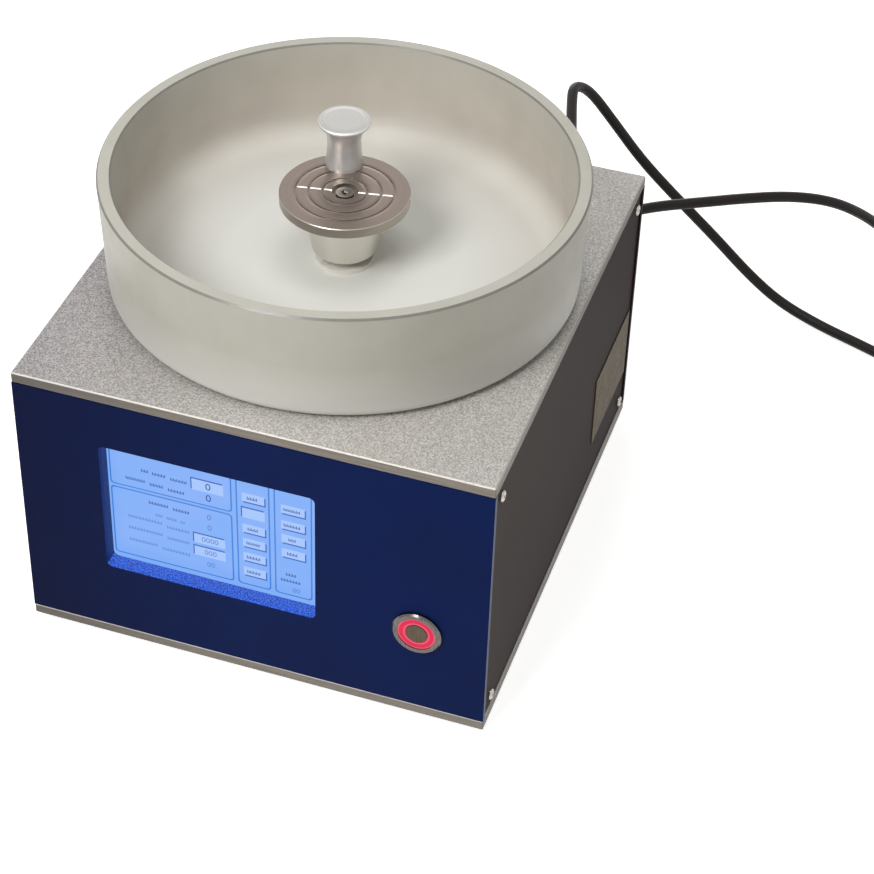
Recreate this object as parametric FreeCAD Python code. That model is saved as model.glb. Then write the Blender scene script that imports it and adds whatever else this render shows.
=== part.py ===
import FreeCAD, Part
import math
import os

# Bench spin coater: a rectangular case with a frosted glass bowl, a vacuum chuck on a motor spindle,
# a touch display and a lit push button. Millimetres. +X right, +Y to the rear, +Z up.
# The origin is on the bench, under the middle of the case.

Vector = FreeCAD.Vector
X_AXIS = Vector(1, 0, 0)
Y_AXIS = Vector(0, 1, 0)
Z_AXIS = Vector(0, 0, 1)

# ---------------------------------------------------------------- driving dimensions: case
CASE_WIDTH = 240.0
CASE_DEPTH = 262.0
CASE_HEIGHT = 158.0          # underside of the bottom plate to the top of the top plate
PLATE_THICKNESS = 6.0        # top and bottom plates
FRONT_THICKNESS = 3.0
REAR_THICKNESS = 3.0
SIDE_THICKNESS = 2.0
SIDE_RECESS = 0.8            # side panels stand back from the edges of the plates
POST_SIZE = 14.0             # square corner posts
EDGE_CHAMFER = 0.6

# ---------------------------------------------------------------- feet and case fasteners
FOOT_HEIGHT = 4.0
FOOT_RADIUS = 10.0
FOOT_INSET = 28.0
FOOT_SINK_DEPTH = 2.0
FOOT_SINK_RADIUS = 3.6
TIE_RADIUS = 2.0             # M4 screws that draw the plates onto the posts
TIE_HEAD_RADIUS = 3.5
TIE_HEAD_HEIGHT = 3.6
TIE_GRIP = 4.0               # thread held in the top plate
TIE_SINK_DEPTH = 4.2
M3_RADIUS = 1.5
M3_HEAD_RADIUS = 2.85
M3_HEAD_HEIGHT = 1.65
M3_SOCKET_RADIUS = 1.0
M3_SOCKET_DEPTH = 1.0
M3_LENGTH = 6.0
SCREW_FROM_END = 12.0        # side screws, from the front and rear of the case
SCREW_FROM_PLATE = 8.0       # side and rear screws, from the plate next to them
STUD_FROM_PLATE = 20.0
STUD_OFFSET = 4.4            # studs stand this far inside the post's middle
STUD_TAIL = 4.0
NUT_RADIUS = 3.1
NUT_HEIGHT = 2.4
HOLE_CLEARANCE = 0.15        # radial, screws in their holes
SEAT_CLEARANCE = 0.05        # radial, turned fits within one body
MOVING_CLEARANCE = 0.3       # between pieces that slide or turn past each other
BLIND_EXTRA = 0.4            # drill depth past a screw's end

# ---------------------------------------------------------------- bowl and its collar
BOWL_RIM_FROM_SIDE = 0.5     # rim inside the case's sides
BOWL_RIM_STEP = 2.5          # rim beyond the base
BOWL_HEIGHT = 60.0
BOWL_WALL = 7.0
BOWL_FLOOR = 6.0
BOWL_OUTER_CORNER = 5.0
BOWL_INNER_CORNER = 8.0
BOWL_RIM_CHAMFER = 1.2
GASKET_THICKNESS = 1.0
GASKET_RADIUS = 100.0
GASKET_WIDTH = 10.0
COLLAR_NECK_RADIUS = 9.0
COLLAR_BORE_RADIUS = 6.5
COLLAR_FLANGE_RADIUS = 14.5
COLLAR_FLANGE_HEIGHT = 2.5
COLLAR_LIP_HEIGHT = 3.0
COLLAR_LIP_WALL = 1.5
COLLAR_SCREWS = 3
COLLAR_SCREW_CIRCLE = 11.8
COLLAR_SCREW_RADIUS = 1.0
COLLAR_SCREW_HEAD = 1.9
COLLAR_SCREW_HEAD_HEIGHT = 1.2
COLLAR_SCREW_GRIP = 4.0

# ---------------------------------------------------------------- chucks
CHUCK_RADIUS = 32.0
CHUCK_THICKNESS = 5.0
CHUCK_TOP_ABOVE_PLATE = 47.0
CHUCK_STEP_RADIUS = 21.5
CHUCK_STEP_HEIGHT = 2.5
CHUCK_HUB_TOP_RADIUS = 20.5
CHUCK_HUB_RADIUS = 16.0      # at its lower end
CHUCK_HUB_ROUND = 2.0
CHUCK_HUB_GAP = 1.5          # hub to the collar's lip
GROOVE_RADII = (10.9, 17.8, 24.2)
GROOVE_WIDTH = 1.0
GROOVE_DEPTH = 0.8
CROSS_GROOVE_LENGTH = 49.0
CROSS_GROOVE_ANGLE = 10.5     # degrees
CHUCK_RECESS_RADIUS = 6.5
CHUCK_RECESS_DEPTH = 2.6
CHUCK_SCREW_HEAD_RADIUS = 4.5
CHUCK_SCREW_HEAD_HEIGHT = 2.0
CHUCK_SCREW_RADIUS = 2.0
CHUCK_SCREW_LENGTH = 14.0
CHUCK_WEB = 6.0              # solid aluminium above the spindle's end
SUCTION_RADIUS = 1.0
SMALL_CHUCK_X = -8.5
SMALL_CHUCK_Y = 22.5
SMALL_CHUCK_HEIGHT = 25.5
SMALL_CHUCK_TOP_RADIUS = 13.0
SMALL_CHUCK_RIM = 2.4
SMALL_CHUCK_NECK_RADIUS = 8.4
SMALL_CHUCK_BASE_RADIUS = 9.4
SMALL_CHUCK_FOOT_HEIGHT = 2.0
SMALL_CHUCK_LOWER_FLARE = 0.25
SMALL_CHUCK_UPPER_FLARE = 1.1
SMALL_CHUCK_BORE_RADIUS = 5.1
SMALL_CHUCK_BORE_DEPTH = 14.0

# ---------------------------------------------------------------- motor and spindle
SPINDLE_RADIUS = 5.0
SPINDLE_BORE_RADIUS = 1.2
SPINDLE_BELOW_BELL = 14.0
RING_GROOVE_DEPTH = 1.2
RING_GROOVE_HEIGHT = 2.2
RING_HEIGHT = 1.8
RING_BELOW_SPINDLE_TOP = 14.0
MOTOR_FLANGE = 60.0
MOTOR_FLANGE_THICKNESS = 11.0
MOTOR_FLANGE_CORNER = 5.0
MOTOR_CAN_RADIUS = 29.0
MOTOR_CAN_WALL = 3.0
MOTOR_CAN_LENGTH = 58.0
MOTOR_BOLT_PITCH = 48.0
MOTOR_BOLT_GRIP = 4.0
MOTOR_BOLT_RADIUS = 2.0
MOTOR_BOLT_HEAD_RADIUS = 3.5
MOTOR_BOLT_HEAD_HEIGHT = 4.0
MOTOR_STANDOFF_HEIGHT = 10.0
MOTOR_STANDOFF_RADIUS = 5.0
BELL_THICKNESS = 12.0
BELL_SPIGOT = 2.0
BELL_HOLE_RADIUS = 7.0
BEARING_RADIUS = 13.0
BEARING_HEIGHT = 8.0
BEARING_INNER_RING_RADIUS = 8.3
BEARING_GAP = 0.4
BEARING_SHOULDER = 2.5
ROTOR_RADIUS = 17.0
ROTOR_LENGTH = 40.0
AIR_GAP = 0.6

# ---------------------------------------------------------------- vacuum line
UNION_RADIUS = 11.0
UNION_LENGTH = 20.0
UNION_RUNNING_CLEARANCE = 0.06
UNION_CAVITY = 2.5
PORT_RADIUS = 2.9
PORT_LENGTH = 10.0
TUBE_RADIUS = 2.0
TUBE_PORT_DEPTH = 6.0        # tube pushed into each port
TUBE_BEND = 15.0
VALVE_X = 52.0
VALVE_Y = 78.0
VALVE_WIDTH = 22.0
VALVE_DEPTH = 32.0
VALVE_HEIGHT = 24.0
VALVE_COIL_HEIGHT = 28.0
VALVE_COIL_RADIUS = 9.5
VALVE_PORT_HEIGHT = 14.0
HOSE_FROM_SIDE = 25.0
HOSE_Z = 101.0
FITTING_HEX_RADIUS = 7.5
FITTING_HEX_LENGTH = 7.0
FITTING_SLEEVE_RADIUS = 6.0
FITTING_SLEEVE_LENGTH = 14.0
FITTING_THREAD_RADIUS = 5.0
FITTING_NUT_LENGTH = 5.0
FITTING_INNER_LENGTH = 14.0
HOSE_RADIUS = 3.0

# ---------------------------------------------------------------- electronics
SUPPLY_FROM_SIDE = 12.0
SUPPLY_WIDTH = 76.0
SUPPLY_FROM_REAR = 35.0
SUPPLY_LENGTH = 140.0
SUPPLY_HEIGHT = 32.0
SUPPLY_WALL = 1.5
SUPPLY_TERMINAL_DEPTH = 14.0
VENT_RADIUS = 2.2
VENT_ROWS = 5
VENT_COLUMNS = 9
VENT_MARGIN = 12.0           # from the long sides
VENT_FROM_FRONT = 30.0
VENT_FROM_REAR = 14.0
BOARD_THICKNESS = 1.6
BOARD_FROM_SIDE = 16.0
BOARD_WIDTH = 78.0
CONTROL_FROM_AXIS = 30.0     # in front of the spindle's axis
CONTROL_LENGTH = 70.0
DRIVER_FROM_CONTROL = 8.0
DRIVER_LENGTH = 64.0
BOARD_RAISE = 8.0
STANDOFF_RADIUS = 2.6
STANDOFF_INSET = 5.0
STANDOFF_STUD_RADIUS = 1.4
STANDOFF_STUD_HEIGHT = 3.4
DRIVER_HEADER_SHARE = 0.12   # of the driver board's depth
DRIVER_HEADER_HEIGHT = 10.0
DRIVER_HEADER_LENGTH = 40.0
DRIVER_HEADER_DEPTH = 8.0
# Components: share of the board's width and of its length, then length, width and height.
CONTROL_PARTS = (
    (0.45, 0.50, 14.0, 14.0, 2.0), (0.75, 0.35, 9.0, 6.0, 1.8), (0.22, 0.45, 8.0, 10.0, 6.0),
    (0.50, 0.90, 40.0, 8.0, 10.0), (0.50, 0.10, 34.0, 7.0, 9.0), (0.78, 0.66, 10.0, 10.0, 8.0))
DRIVER_PARTS = (
    (0.50, 0.52, 44.0, 18.0, 16.0), (0.18, 0.50, 10.0, 10.0, 14.0),
    (0.84, 0.50, 10.0, 10.0, 14.0), (0.50, 0.88, 36.0, 7.0, 9.0))
WIRE_RADIUS = 1.1
WIRE_SPACING = 8.0

# ---------------------------------------------------------------- display
WINDOW_FROM_SIDE = 43.0      # from the case's left side to the window
WINDOW_WIDTH = 110.0
WINDOW_BOTTOM = 51.0
WINDOW_HEIGHT = 78.0
WINDOW_CORNER = 3.0
DISPLAY_FRAME_MARGIN = 10.0
DISPLAY_FRAME_DEPTH = 5.5
SCREEN_MARGIN = 6.0
TOUCH_GLASS_THICKNESS = 1.1
LCD_THICKNESS = 4.4
BRACKET_WIDTH = 12.0
BRACKET_THICKNESS = 2.0
BRACKET_FROM_MIDDLE = 38.0
BRACKET_LEG = 3.5

# ---------------------------------------------------------------- push button
BUTTON_FROM_SIDE = 35.0
BUTTON_Z = 60.0
BEZEL_RADIUS = 12.5
BEZEL_HEIGHT = 2.0
BUTTON_BARREL_RADIUS = 11.0
BUTTON_BARREL_LENGTH = 28.0
LIGHT_RING_RADIUS = 9.5
LIGHT_RING_DEPTH = 5.0
LIGHT_RING_SETBACK = 0.6
CAP_RADIUS = 5.4
CAP_LENGTH = 7.0
CAP_SETBACK = 0.4
BUTTON_TRAVEL = 1.5
CAP_STEM_RADIUS = 2.4
CAP_STEM_LENGTH = 6.0
SPRING_WIRE_RADIUS = 0.3
SPRING_COIL_RADIUS = 3.6
SPRING_POCKET_RADIUS = 4.4
SPRING_POCKET_DEPTH = 5.0
SPRING_TURNS = 4
SWITCH_BODY_LENGTH = 25.0
BUTTON_NUT_RADIUS = 14.0
BUTTON_NUT_HEIGHT = 3.5

# ---------------------------------------------------------------- mains inlet, rocker and connector
INLET_FROM_SIDE = 56.0
SOCKET_BELOW_TOP = 26.0      # below the top plate, to the middle
ROCKER_BELOW_SOCKET = 28.0
INLET_FLANGE_WIDTH = 31.0
INLET_FLANGE_ABOVE_SOCKET = 15.0
INLET_FLANGE_HEIGHT = 56.0
INLET_FLANGE_THICKNESS = 2.0
INLET_BODY_MARGIN = 2.5
INLET_BODY_DEPTH = 26.0
SOCKET_WIDTH = 24.6
SOCKET_HEIGHT = 16.8
SOCKET_DEPTH = 17.0
SOCKET_CORNER = 4.0
PIN_WIDTH = 4.0
PIN_THICKNESS = 2.0
PIN_LENGTH = 14.0
PIN_PITCH = 7.0
PIN_DROP = 2.0
PLUG_CLEARANCE = 0.3
ROCKER_WIDTH = 19.0
ROCKER_HEIGHT = 12.0
ROCKER_DEPTH = 9.0
ROCKER_PIVOT_DEPTH = 4.0
ROCKER_EDGE_RAISE = 1.0      # upper and lower edges above the middle
ROCKER_TAPER = 0.55          # inner width over outer width
ROCKER_TILT = 9.0            # degrees either side of level
ROCKER_WELL = 14.0
ROCKER_SWING_ROOM = 1.4      # above and below the rocker, for its corners
CONNECTOR_WIDTH = 27.0
CONNECTOR_HEIGHT = 20.0
CONNECTOR_LENGTH = 22.0
CONNECTOR_CORNER = 3.0
RELIEF_LENGTH = 26.0
RELIEF_RADIUS = 5.5
RELIEF_WALL = 0.8            # rubber round the lead at the relief's end
LEAD_RADIUS = 3.0

# ---------------------------------------------------------------- fan
FAN_FROM_SIDE = 58.0
FAN_Z = 78.0
FAN_SIZE = 60.0
FAN_DEPTH = 15.0
FAN_HOLE_RADIUS = 28.5
FAN_HUB_RADIUS = 14.0
FAN_BLADES = 7
FAN_BLADE_RADIUS = 27.5
FAN_BLADE_THICKNESS = 1.4
FAN_BLADE_PITCH = 35.0       # degrees
FAN_CORNER = 4.0
FAN_ARMS = 3
FAN_ARM_WIDTH = 3.0
FAN_PLATE_THICKNESS = 2.0
FAN_PIN_RADIUS = 1.5
FAN_PIN_LENGTH = 11.0
FAN_HUB_SETBACK = 1.5        # hub behind the rear panel
FAN_CHORD_SHARE = 0.84       # of the hub's depth
FAN_SCREW_PITCH = 50.0
FAN_SCREW_LENGTH = 18.0
FAN_SCREW_HEAD_RADIUS = 2.8
FAN_SCREW_HEAD_HEIGHT = 1.6
GUARD_WIRE_RADIUS = 0.75
GUARD_RINGS = (9.0, 16.0, 23.0, 29.5)
GUARD_BAR_GAP = 0.2          # bars to the rear panel
GUARD_RING_RAISE = 0.6       # rings behind the bars, welded on
GUARD_EAR_RADIUS = 3.4
GUARD_EAR_THICKNESS = 1.3
GUARD_EAR_BORE = 1.7

# ---------------------------------------------------------------- rating plate
LABEL_FROM_REAR = 6.0
LABEL_LENGTH = 66.0
LABEL_Z = (35.0, 78.0)
LABEL_THICKNESS = 0.5

# ---------------------------------------------------------------- loose cords
# Points of the route, chosen by hand, from the gland to the coil.
LEAD_ROUTE = (
    (64.0, 181.0, 130.0), (64.0, 192.0, 130.0), (59.5, 208.0, 131.5), (54.5, 225.0, 134.5),
    (51.0, 240.0, 137.0), (57.5, 252.0, 128.5), (72.0, 255.0, 109.0), (92.0, 254.5, 85.5),
    (116.0, 254.0, 64.0), (140.0, 253.5, 43.5), (161.0, 252.5, 24.5), (182.0, 250.0, 10.5),
    (208.0, 244.0, 4.2), (235.0, 235.0, 3.4), (262.0, 224.0, 3.2),
)
HOSE_ROUTE = (
    (95.0, 152.0, 101.0), (95.0, 166.0, 101.0), (101.0, 181.0, 100.5), (115.0, 194.0, 99.5),
    (136.0, 205.5, 99.5), (159.0, 218.5, 99.5), (182.0, 234.0, 96.5), (203.5, 250.0, 88.0),
    (221.0, 267.0, 71.5), (235.0, 284.0, 50.5), (246.0, 301.0, 29.5), (257.0, 316.0, 13.0),
    (268.0, 327.5, 5.2), (279.5, 336.0, 3.4),
)
COIL_MEAN_RADIUS = 35.4
COIL_LANES = 3               # turns side by side
COIL_LAYERS = 2
COIL_PITCH = 6.15            # from one turn to the next
COIL_ROUNDING = 2.6
COIL_SINK = 0.5              # a cord's end inside the coil's outer shape
LEAD_COIL_EXIT = -76.0       # degrees round the coil, where the cord leaves it for its end piece
HOSE_COIL_EXIT = 18.0
PLUG_WIDTH = 28.0
PLUG_HEIGHT = 24.0
PLUG_LENGTH = 26.0
PLUG_CORNER = 5.0
PLUG_NECK_LENGTH = 24.0
PLUG_NECK_RADIUS = 5.0
PLUG_NECK_END_RADIUS = 10.0
BLADE_LENGTH = 17.0
BLADE_WIDTH = 6.3
BLADE_THICKNESS = 1.5
BLADE_SPACING = 12.7
EARTH_PIN_RADIUS = 2.4
EARTH_PIN_LENGTH = 20.0
EARTH_PIN_OFFSET = 8.0
BLADE_OFFSET = 3.5           # blades above the plug's axis
END_SLEEVE_RADIUS = 6.0
END_SLEEVE_LENGTH = 14.0
END_HEX_LENGTH = 8.0
END_BARB_RADIUS = 3.2
END_BARB_TIP = 2.3
END_BARB_LENGTH = 5.0
END_BARBS = 3

# ---------------------------------------------------------------- levels and places worked out
BASE_BOTTOM = FOOT_HEIGHT
BASE_TOP = BASE_BOTTOM + PLATE_THICKNESS
CASE_TOP = FOOT_HEIGHT + CASE_HEIGHT
TOP_UNDERSIDE = CASE_TOP - PLATE_THICKNESS
HALF_WIDTH = CASE_WIDTH / 2
HALF_DEPTH = CASE_DEPTH / 2
FRONT_INNER = -HALF_DEPTH + FRONT_THICKNESS
REAR_INNER = HALF_DEPTH - REAR_THICKNESS
SIDE_OUTER = HALF_WIDTH - SIDE_RECESS
SIDE_INNER = SIDE_OUTER - SIDE_THICKNESS
POST_X = SIDE_INNER - POST_SIZE / 2
POST_Y = HALF_DEPTH - FRONT_THICKNESS - POST_SIZE / 2
SCREW_LEVELS = (BASE_TOP + SCREW_FROM_PLATE, TOP_UNDERSIDE - SCREW_FROM_PLATE)
STUD_LEVELS = (BASE_TOP + STUD_FROM_PLATE, TOP_UNDERSIDE - STUD_FROM_PLATE)
CORNERS = ((-1, -1), (1, -1), (1, 1), (-1, 1))
LABEL_Y = (HALF_DEPTH - LABEL_FROM_REAR - LABEL_LENGTH, HALF_DEPTH - LABEL_FROM_REAR)
BUTTON_X = HALF_WIDTH - BUTTON_FROM_SIDE
INLET_X = HALF_WIDTH - INLET_FROM_SIDE
SOCKET_Z = TOP_UNDERSIDE - SOCKET_BELOW_TOP
ROCKER_Z = SOCKET_Z - ROCKER_BELOW_SOCKET
INLET_FLANGE_TOP = SOCKET_Z + INLET_FLANGE_ABOVE_SOCKET
INLET_FLANGE_BOTTOM = INLET_FLANGE_TOP - INLET_FLANGE_HEIGHT
HOSE_X = HALF_WIDTH - HOSE_FROM_SIDE
FAN_X = FAN_FROM_SIDE - HALF_WIDTH
SUPPLY_X = (SUPPLY_FROM_SIDE - HALF_WIDTH, SUPPLY_FROM_SIDE + SUPPLY_WIDTH - HALF_WIDTH)
SUPPLY_Y = (HALF_DEPTH - SUPPLY_FROM_REAR - SUPPLY_LENGTH, HALF_DEPTH - SUPPLY_FROM_REAR)
CONTROL_X = (HALF_WIDTH - BOARD_FROM_SIDE - BOARD_WIDTH, HALF_WIDTH - BOARD_FROM_SIDE)
CONTROL_Y = (-CONTROL_FROM_AXIS - CONTROL_LENGTH, -CONTROL_FROM_AXIS)
DRIVER_X = CONTROL_X
DRIVER_Y = (CONTROL_Y[1] + DRIVER_FROM_CONTROL, CONTROL_Y[1] + DRIVER_FROM_CONTROL + DRIVER_LENGTH)

BOWL_RIM_RADIUS = HALF_WIDTH - BOWL_RIM_FROM_SIDE
BOWL_BASE_RADIUS = BOWL_RIM_RADIUS - BOWL_RIM_STEP
BOWL_BOTTOM = CASE_TOP + GASKET_THICKNESS
BOWL_TOP = BOWL_BOTTOM + BOWL_HEIGHT
BOWL_FLOOR_TOP = BOWL_BOTTOM + BOWL_FLOOR
BOWL_HOLE_RADIUS = COLLAR_NECK_RADIUS + HOLE_CLEARANCE

CHUCK_TOP = CASE_TOP + CHUCK_TOP_ABOVE_PLATE
HUB_BOTTOM = BOWL_FLOOR_TOP + COLLAR_FLANGE_HEIGHT + COLLAR_LIP_HEIGHT + CHUCK_HUB_GAP
CHUCK_RECESS_FLOOR = CHUCK_TOP - CHUCK_RECESS_DEPTH
SPINDLE_TOP = CHUCK_RECESS_FLOOR - CHUCK_WEB
RING_LEVEL = SPINDLE_TOP - RING_BELOW_SPINDLE_TOP

FLANGE_TOP = TOP_UNDERSIDE - MOTOR_STANDOFF_HEIGHT
CAN_TOP = FLANGE_TOP - MOTOR_FLANGE_THICKNESS
CAN_BOTTOM = CAN_TOP - MOTOR_CAN_LENGTH
CAN_BORE_RADIUS = MOTOR_CAN_RADIUS - MOTOR_CAN_WALL
BELL_BOTTOM = CAN_BOTTOM - BELL_THICKNESS
SPINDLE_BOTTOM = BELL_BOTTOM - SPINDLE_BELOW_BELL
ROTOR_BOTTOM = (CAN_TOP + CAN_BOTTOM - ROTOR_LENGTH) / 2
UPPER_BEARING = CAN_TOP
LOWER_BEARING = CAN_BOTTOM - BEARING_HEIGHT
UNION_BOTTOM = BELL_BOTTOM - UNION_LENGTH
UNION_PORT_Z = SPINDLE_BOTTOM - UNION_CAVITY / 2

WINDOW_LEFT = WINDOW_FROM_SIDE - HALF_WIDTH
WINDOW_RIGHT = WINDOW_LEFT + WINDOW_WIDTH
WINDOW_X = (WINDOW_LEFT + WINDOW_RIGHT) / 2
WINDOW_TOP = WINDOW_BOTTOM + WINDOW_HEIGHT
FRAME_BACK = FRONT_INNER + DISPLAY_FRAME_DEPTH
GLASS_BACK = FRAME_BACK + TOUCH_GLASS_THICKNESS
LCD_BACK = GLASS_BACK + LCD_THICKNESS
DISPLAY_BOARD_BACK = LCD_BACK + BOARD_THICKNESS

COIL_OUTER_LANE = COIL_MEAN_RADIUS + COIL_PITCH * (COIL_LANES - 1) / 2
COIL_REACH = COIL_OUTER_LANE + COIL_PITCH / 2
COIL_HEIGHT = COIL_PITCH * COIL_LAYERS


# ---------------------------------------------------------------- shape helpers
def block(x_range, y_range, z_range):
    """A box between pairs of coordinates."""
    corner = Vector(x_range[0], y_range[0], z_range[0])
    size = [pair[1] - pair[0] for pair in (x_range, y_range, z_range)]
    return Part.makeBox(size[0], size[1], size[2], corner)


def rod(start, axis, radius, length):
    """A round bar from a point along an axis."""
    return Part.makeCylinder(radius, length, Vector(*start), axis)


def ring(start, axis, inner, outer, length):
    """A round tube from a point along an axis."""
    return rod(start, axis, outer, length).cut(rod(start, axis, inner, length))


def turned(profile):
    """A body of revolution about Z from (radius, z) points."""
    points = [Vector(radius, 0, z) for radius, z in profile]
    face = Part.Face(Part.makePolygon(points + points[:1]))
    return face.revolve(Vector(0, 0, 0), Z_AXIS, 360)


def rounded_window(x_range, z_range, y_range, corner):
    """A block along Y whose four long edges are rounded."""
    solid = block(x_range, y_range, z_range)
    long_edges = [edge for edge in solid.Edges if abs(edge.tangentAt(edge.FirstParameter).y) > 0.9]
    return solid.makeFillet(corner, long_edges)


def vertical_edges(solid):
    return [edge for edge in solid.Edges if abs(edge.tangentAt(edge.FirstParameter).z) > 0.9]


def hexagon(start, axis, radius, length):
    """A six-sided bar; radius is to the corners."""
    turn = FreeCAD.Rotation(Z_AXIS, axis)
    points = []
    for step in range(7):
        angle = math.radians(60 * step)
        points.append(Vector(radius * math.cos(angle), radius * math.sin(angle), 0))
    solid = Part.Face(Part.makePolygon(points)).extrude(Vector(0, 0, length))
    solid.Placement = FreeCAD.Placement(Vector(*start), turn)
    return solid


def button_screw(seat, inward):
    """An M3 button-head screw whose head bears on a seat."""
    outward = inward * -1
    seat = Vector(*seat)
    head = rod(seat, outward, M3_HEAD_RADIUS, M3_HEAD_HEIGHT)
    crown = [edge for edge in head.Edges if (edge.CenterOfMass - seat).dot(outward) > M3_HEAD_HEIGHT * 0.9]
    head = head.makeFillet(M3_HEAD_HEIGHT * 0.6, crown[:1])
    socket_start = seat + outward * (M3_HEAD_HEIGHT - M3_SOCKET_DEPTH)
    head = head.cut(hexagon(socket_start, outward, M3_SOCKET_RADIUS, M3_SOCKET_DEPTH * 2))
    return head.fuse(rod(seat, inward, M3_RADIUS, M3_LENGTH)).removeSplitter()


def route_wire(points, label=None):
    """Straight runs joined by tangent arcs as large as the two runs beside them allow."""
    points = [Vector(*point) for point in points]
    edges = []
    here = points[0]
    radii = []
    for before, corner, after in zip(points, points[1:], points[2:]):
        run_in = corner - before
        run_out = after - corner
        half_turn = run_in.getAngle(run_out) / 2
        setback = 0.45 * min(run_in.Length, run_out.Length)
        radii.append(setback / math.tan(half_turn))
        start = corner - run_in.normalize() * setback
        end = corner + run_out.normalize() * setback
        bisector = (start + end) * 0.5 - corner
        to_middle = radii[-1] / math.cos(half_turn) - radii[-1]
        middle = corner + bisector.normalize() * to_middle
        edges.append(Part.LineSegment(here, start).toShape())
        edges.append(Part.Arc(start, middle, end).toShape())
        here = end
    edges.append(Part.LineSegment(here, points[-1]).toShape())
    if label:
        print(label, "radii", [round(radius, 1) for radius in radii])
    return Part.Wire(edges)


def tube_along(points, radius, label=None):
    """A solid round cord along a route."""
    wire = route_wire(points, label)
    first = wire.Edges[0]
    heading = first.tangentAt(first.FirstParameter)
    start = first.valueAt(first.FirstParameter)
    profile = Part.Wire(Part.makeCircle(radius, start, heading))
    solid = wire.makePipeShell([profile], True, False)
    if label:
        swept = math.pi * radius ** 2 * wire.Length
        print(label, "length", round(wire.Length, 1), "volume share", round(solid.Volume / swept, 4))
    return solid


def group(solids):
    return Part.makeCompound(solids)


def save(name, shape):
    shape.exportStep(os.path.join("parts", name + ".step"))


# ---------------------------------------------------------------- case
def corner_places(x, y):
    return [(sign_x * x, sign_y * y) for sign_x, sign_y in CORNERS]


def top_plate():
    """Sandblasted plate, with blind threads for the posts, the motor and the bowl collar."""
    plate = block((-HALF_WIDTH, HALF_WIDTH), (-HALF_DEPTH, HALF_DEPTH), (TOP_UNDERSIDE, CASE_TOP))
    plate = plate.makeChamfer(EDGE_CHAMFER, plate.Edges)
    plate = plate.cut(rod((0, 0, TOP_UNDERSIDE), Z_AXIS, BOWL_HOLE_RADIUS, PLATE_THICKNESS))
    for x, y in corner_places(POST_X, POST_Y):
        plate = plate.cut(rod((x, y, TOP_UNDERSIDE), Z_AXIS, TIE_RADIUS, TIE_GRIP + BLIND_EXTRA))
    for x, y in motor_bolt_places():
        depth = MOTOR_BOLT_GRIP + BLIND_EXTRA
        plate = plate.cut(rod((x, y, TOP_UNDERSIDE), Z_AXIS, MOTOR_BOLT_RADIUS, depth))
    for x, y in collar_screw_places():
        depth = COLLAR_SCREW_GRIP + BLIND_EXTRA
        plate = plate.cut(rod((x, y, CASE_TOP - depth), Z_AXIS, COLLAR_SCREW_RADIUS, depth))
    return plate


def bottom_plate():
    """Matching plate, countersunk from below for the tie screws."""
    plate = block((-HALF_WIDTH, HALF_WIDTH), (-HALF_DEPTH, HALF_DEPTH), (BASE_BOTTOM, BASE_TOP))
    plate = plate.makeChamfer(EDGE_CHAMFER, plate.Edges)
    for x, y in corner_places(POST_X, POST_Y):
        plate = plate.cut(rod((x, y, BASE_BOTTOM), Z_AXIS, TIE_RADIUS + HOLE_CLEARANCE, PLATE_THICKNESS))
        plate = plate.cut(rod((x, y, BASE_BOTTOM), Z_AXIS, TIE_HEAD_RADIUS + HOLE_CLEARANCE, TIE_SINK_DEPTH))
    for x, y in foot_places():
        grip = foot_screw_grip() + BLIND_EXTRA
        plate = plate.cut(rod((x, y, BASE_BOTTOM), Z_AXIS, M3_RADIUS, grip))
    for x, y in board_places():
        plate = plate.cut(rod((x, y, BASE_TOP - STANDOFF_STUD_HEIGHT), Z_AXIS, STANDOFF_STUD_RADIUS,
                              STANDOFF_STUD_HEIGHT))
    return plate


def corner_posts():
    """Square posts bored for the tie screws and tapped for the panels."""
    posts = []
    for x, y in corner_places(POST_X, POST_Y):
        half = POST_SIZE / 2
        post = block((x - half, x + half), (y - half, y + half), (BASE_TOP, TOP_UNDERSIDE))
        post = post.cut(rod((x, y, BASE_TOP), Z_AXIS, TIE_RADIUS + HOLE_CLEARANCE, TOP_UNDERSIDE - BASE_TOP))
        out_x = math.copysign(1, x)
        side_y = math.copysign(HALF_DEPTH - SCREW_FROM_END, y)
        grip = M3_LENGTH - SIDE_THICKNESS + BLIND_EXTRA
        for z in SCREW_LEVELS:
            post = post.cut(rod((out_x * SIDE_INNER, side_y, z), X_AXIS * -out_x, M3_RADIUS, grip))
            if y > 0:
                grip_rear = M3_LENGTH - REAR_THICKNESS + BLIND_EXTRA
                post = post.cut(rod((rear_screw_x(out_x), REAR_INNER, z), Y_AXIS * -1, M3_RADIUS, grip_rear))
        if y < 0:
            for z in STUD_LEVELS:
                stud_x = x - out_x * STUD_OFFSET
                post = post.cut(rod((stud_x, FRONT_INNER, z), Y_AXIS, M3_RADIUS + HOLE_CLEARANCE, POST_SIZE))
        posts.append(post)
    return group(posts)


def rear_screw_x(side):
    """Rear panel screws stand inside the post's middle, clear of the side screws."""
    return side * (POST_X - STUD_OFFSET)


def tie_screws():
    screws = []
    head_bottom = BASE_BOTTOM + TIE_SINK_DEPTH - TIE_HEAD_HEIGHT
    head_top = head_bottom + TIE_HEAD_HEIGHT
    for x, y in corner_places(POST_X, POST_Y):
        head = rod((x, y, head_bottom), Z_AXIS, TIE_HEAD_RADIUS, TIE_HEAD_HEIGHT)
        head = head.cut(hexagon((x, y, head_bottom), Z_AXIS, TIE_RADIUS, TIE_HEAD_HEIGHT / 2))
        shank = rod((x, y, head_top), Z_AXIS, TIE_RADIUS, TOP_UNDERSIDE + TIE_GRIP - head_top)
        screws.append(head.fuse(shank))
    return group(screws)


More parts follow.
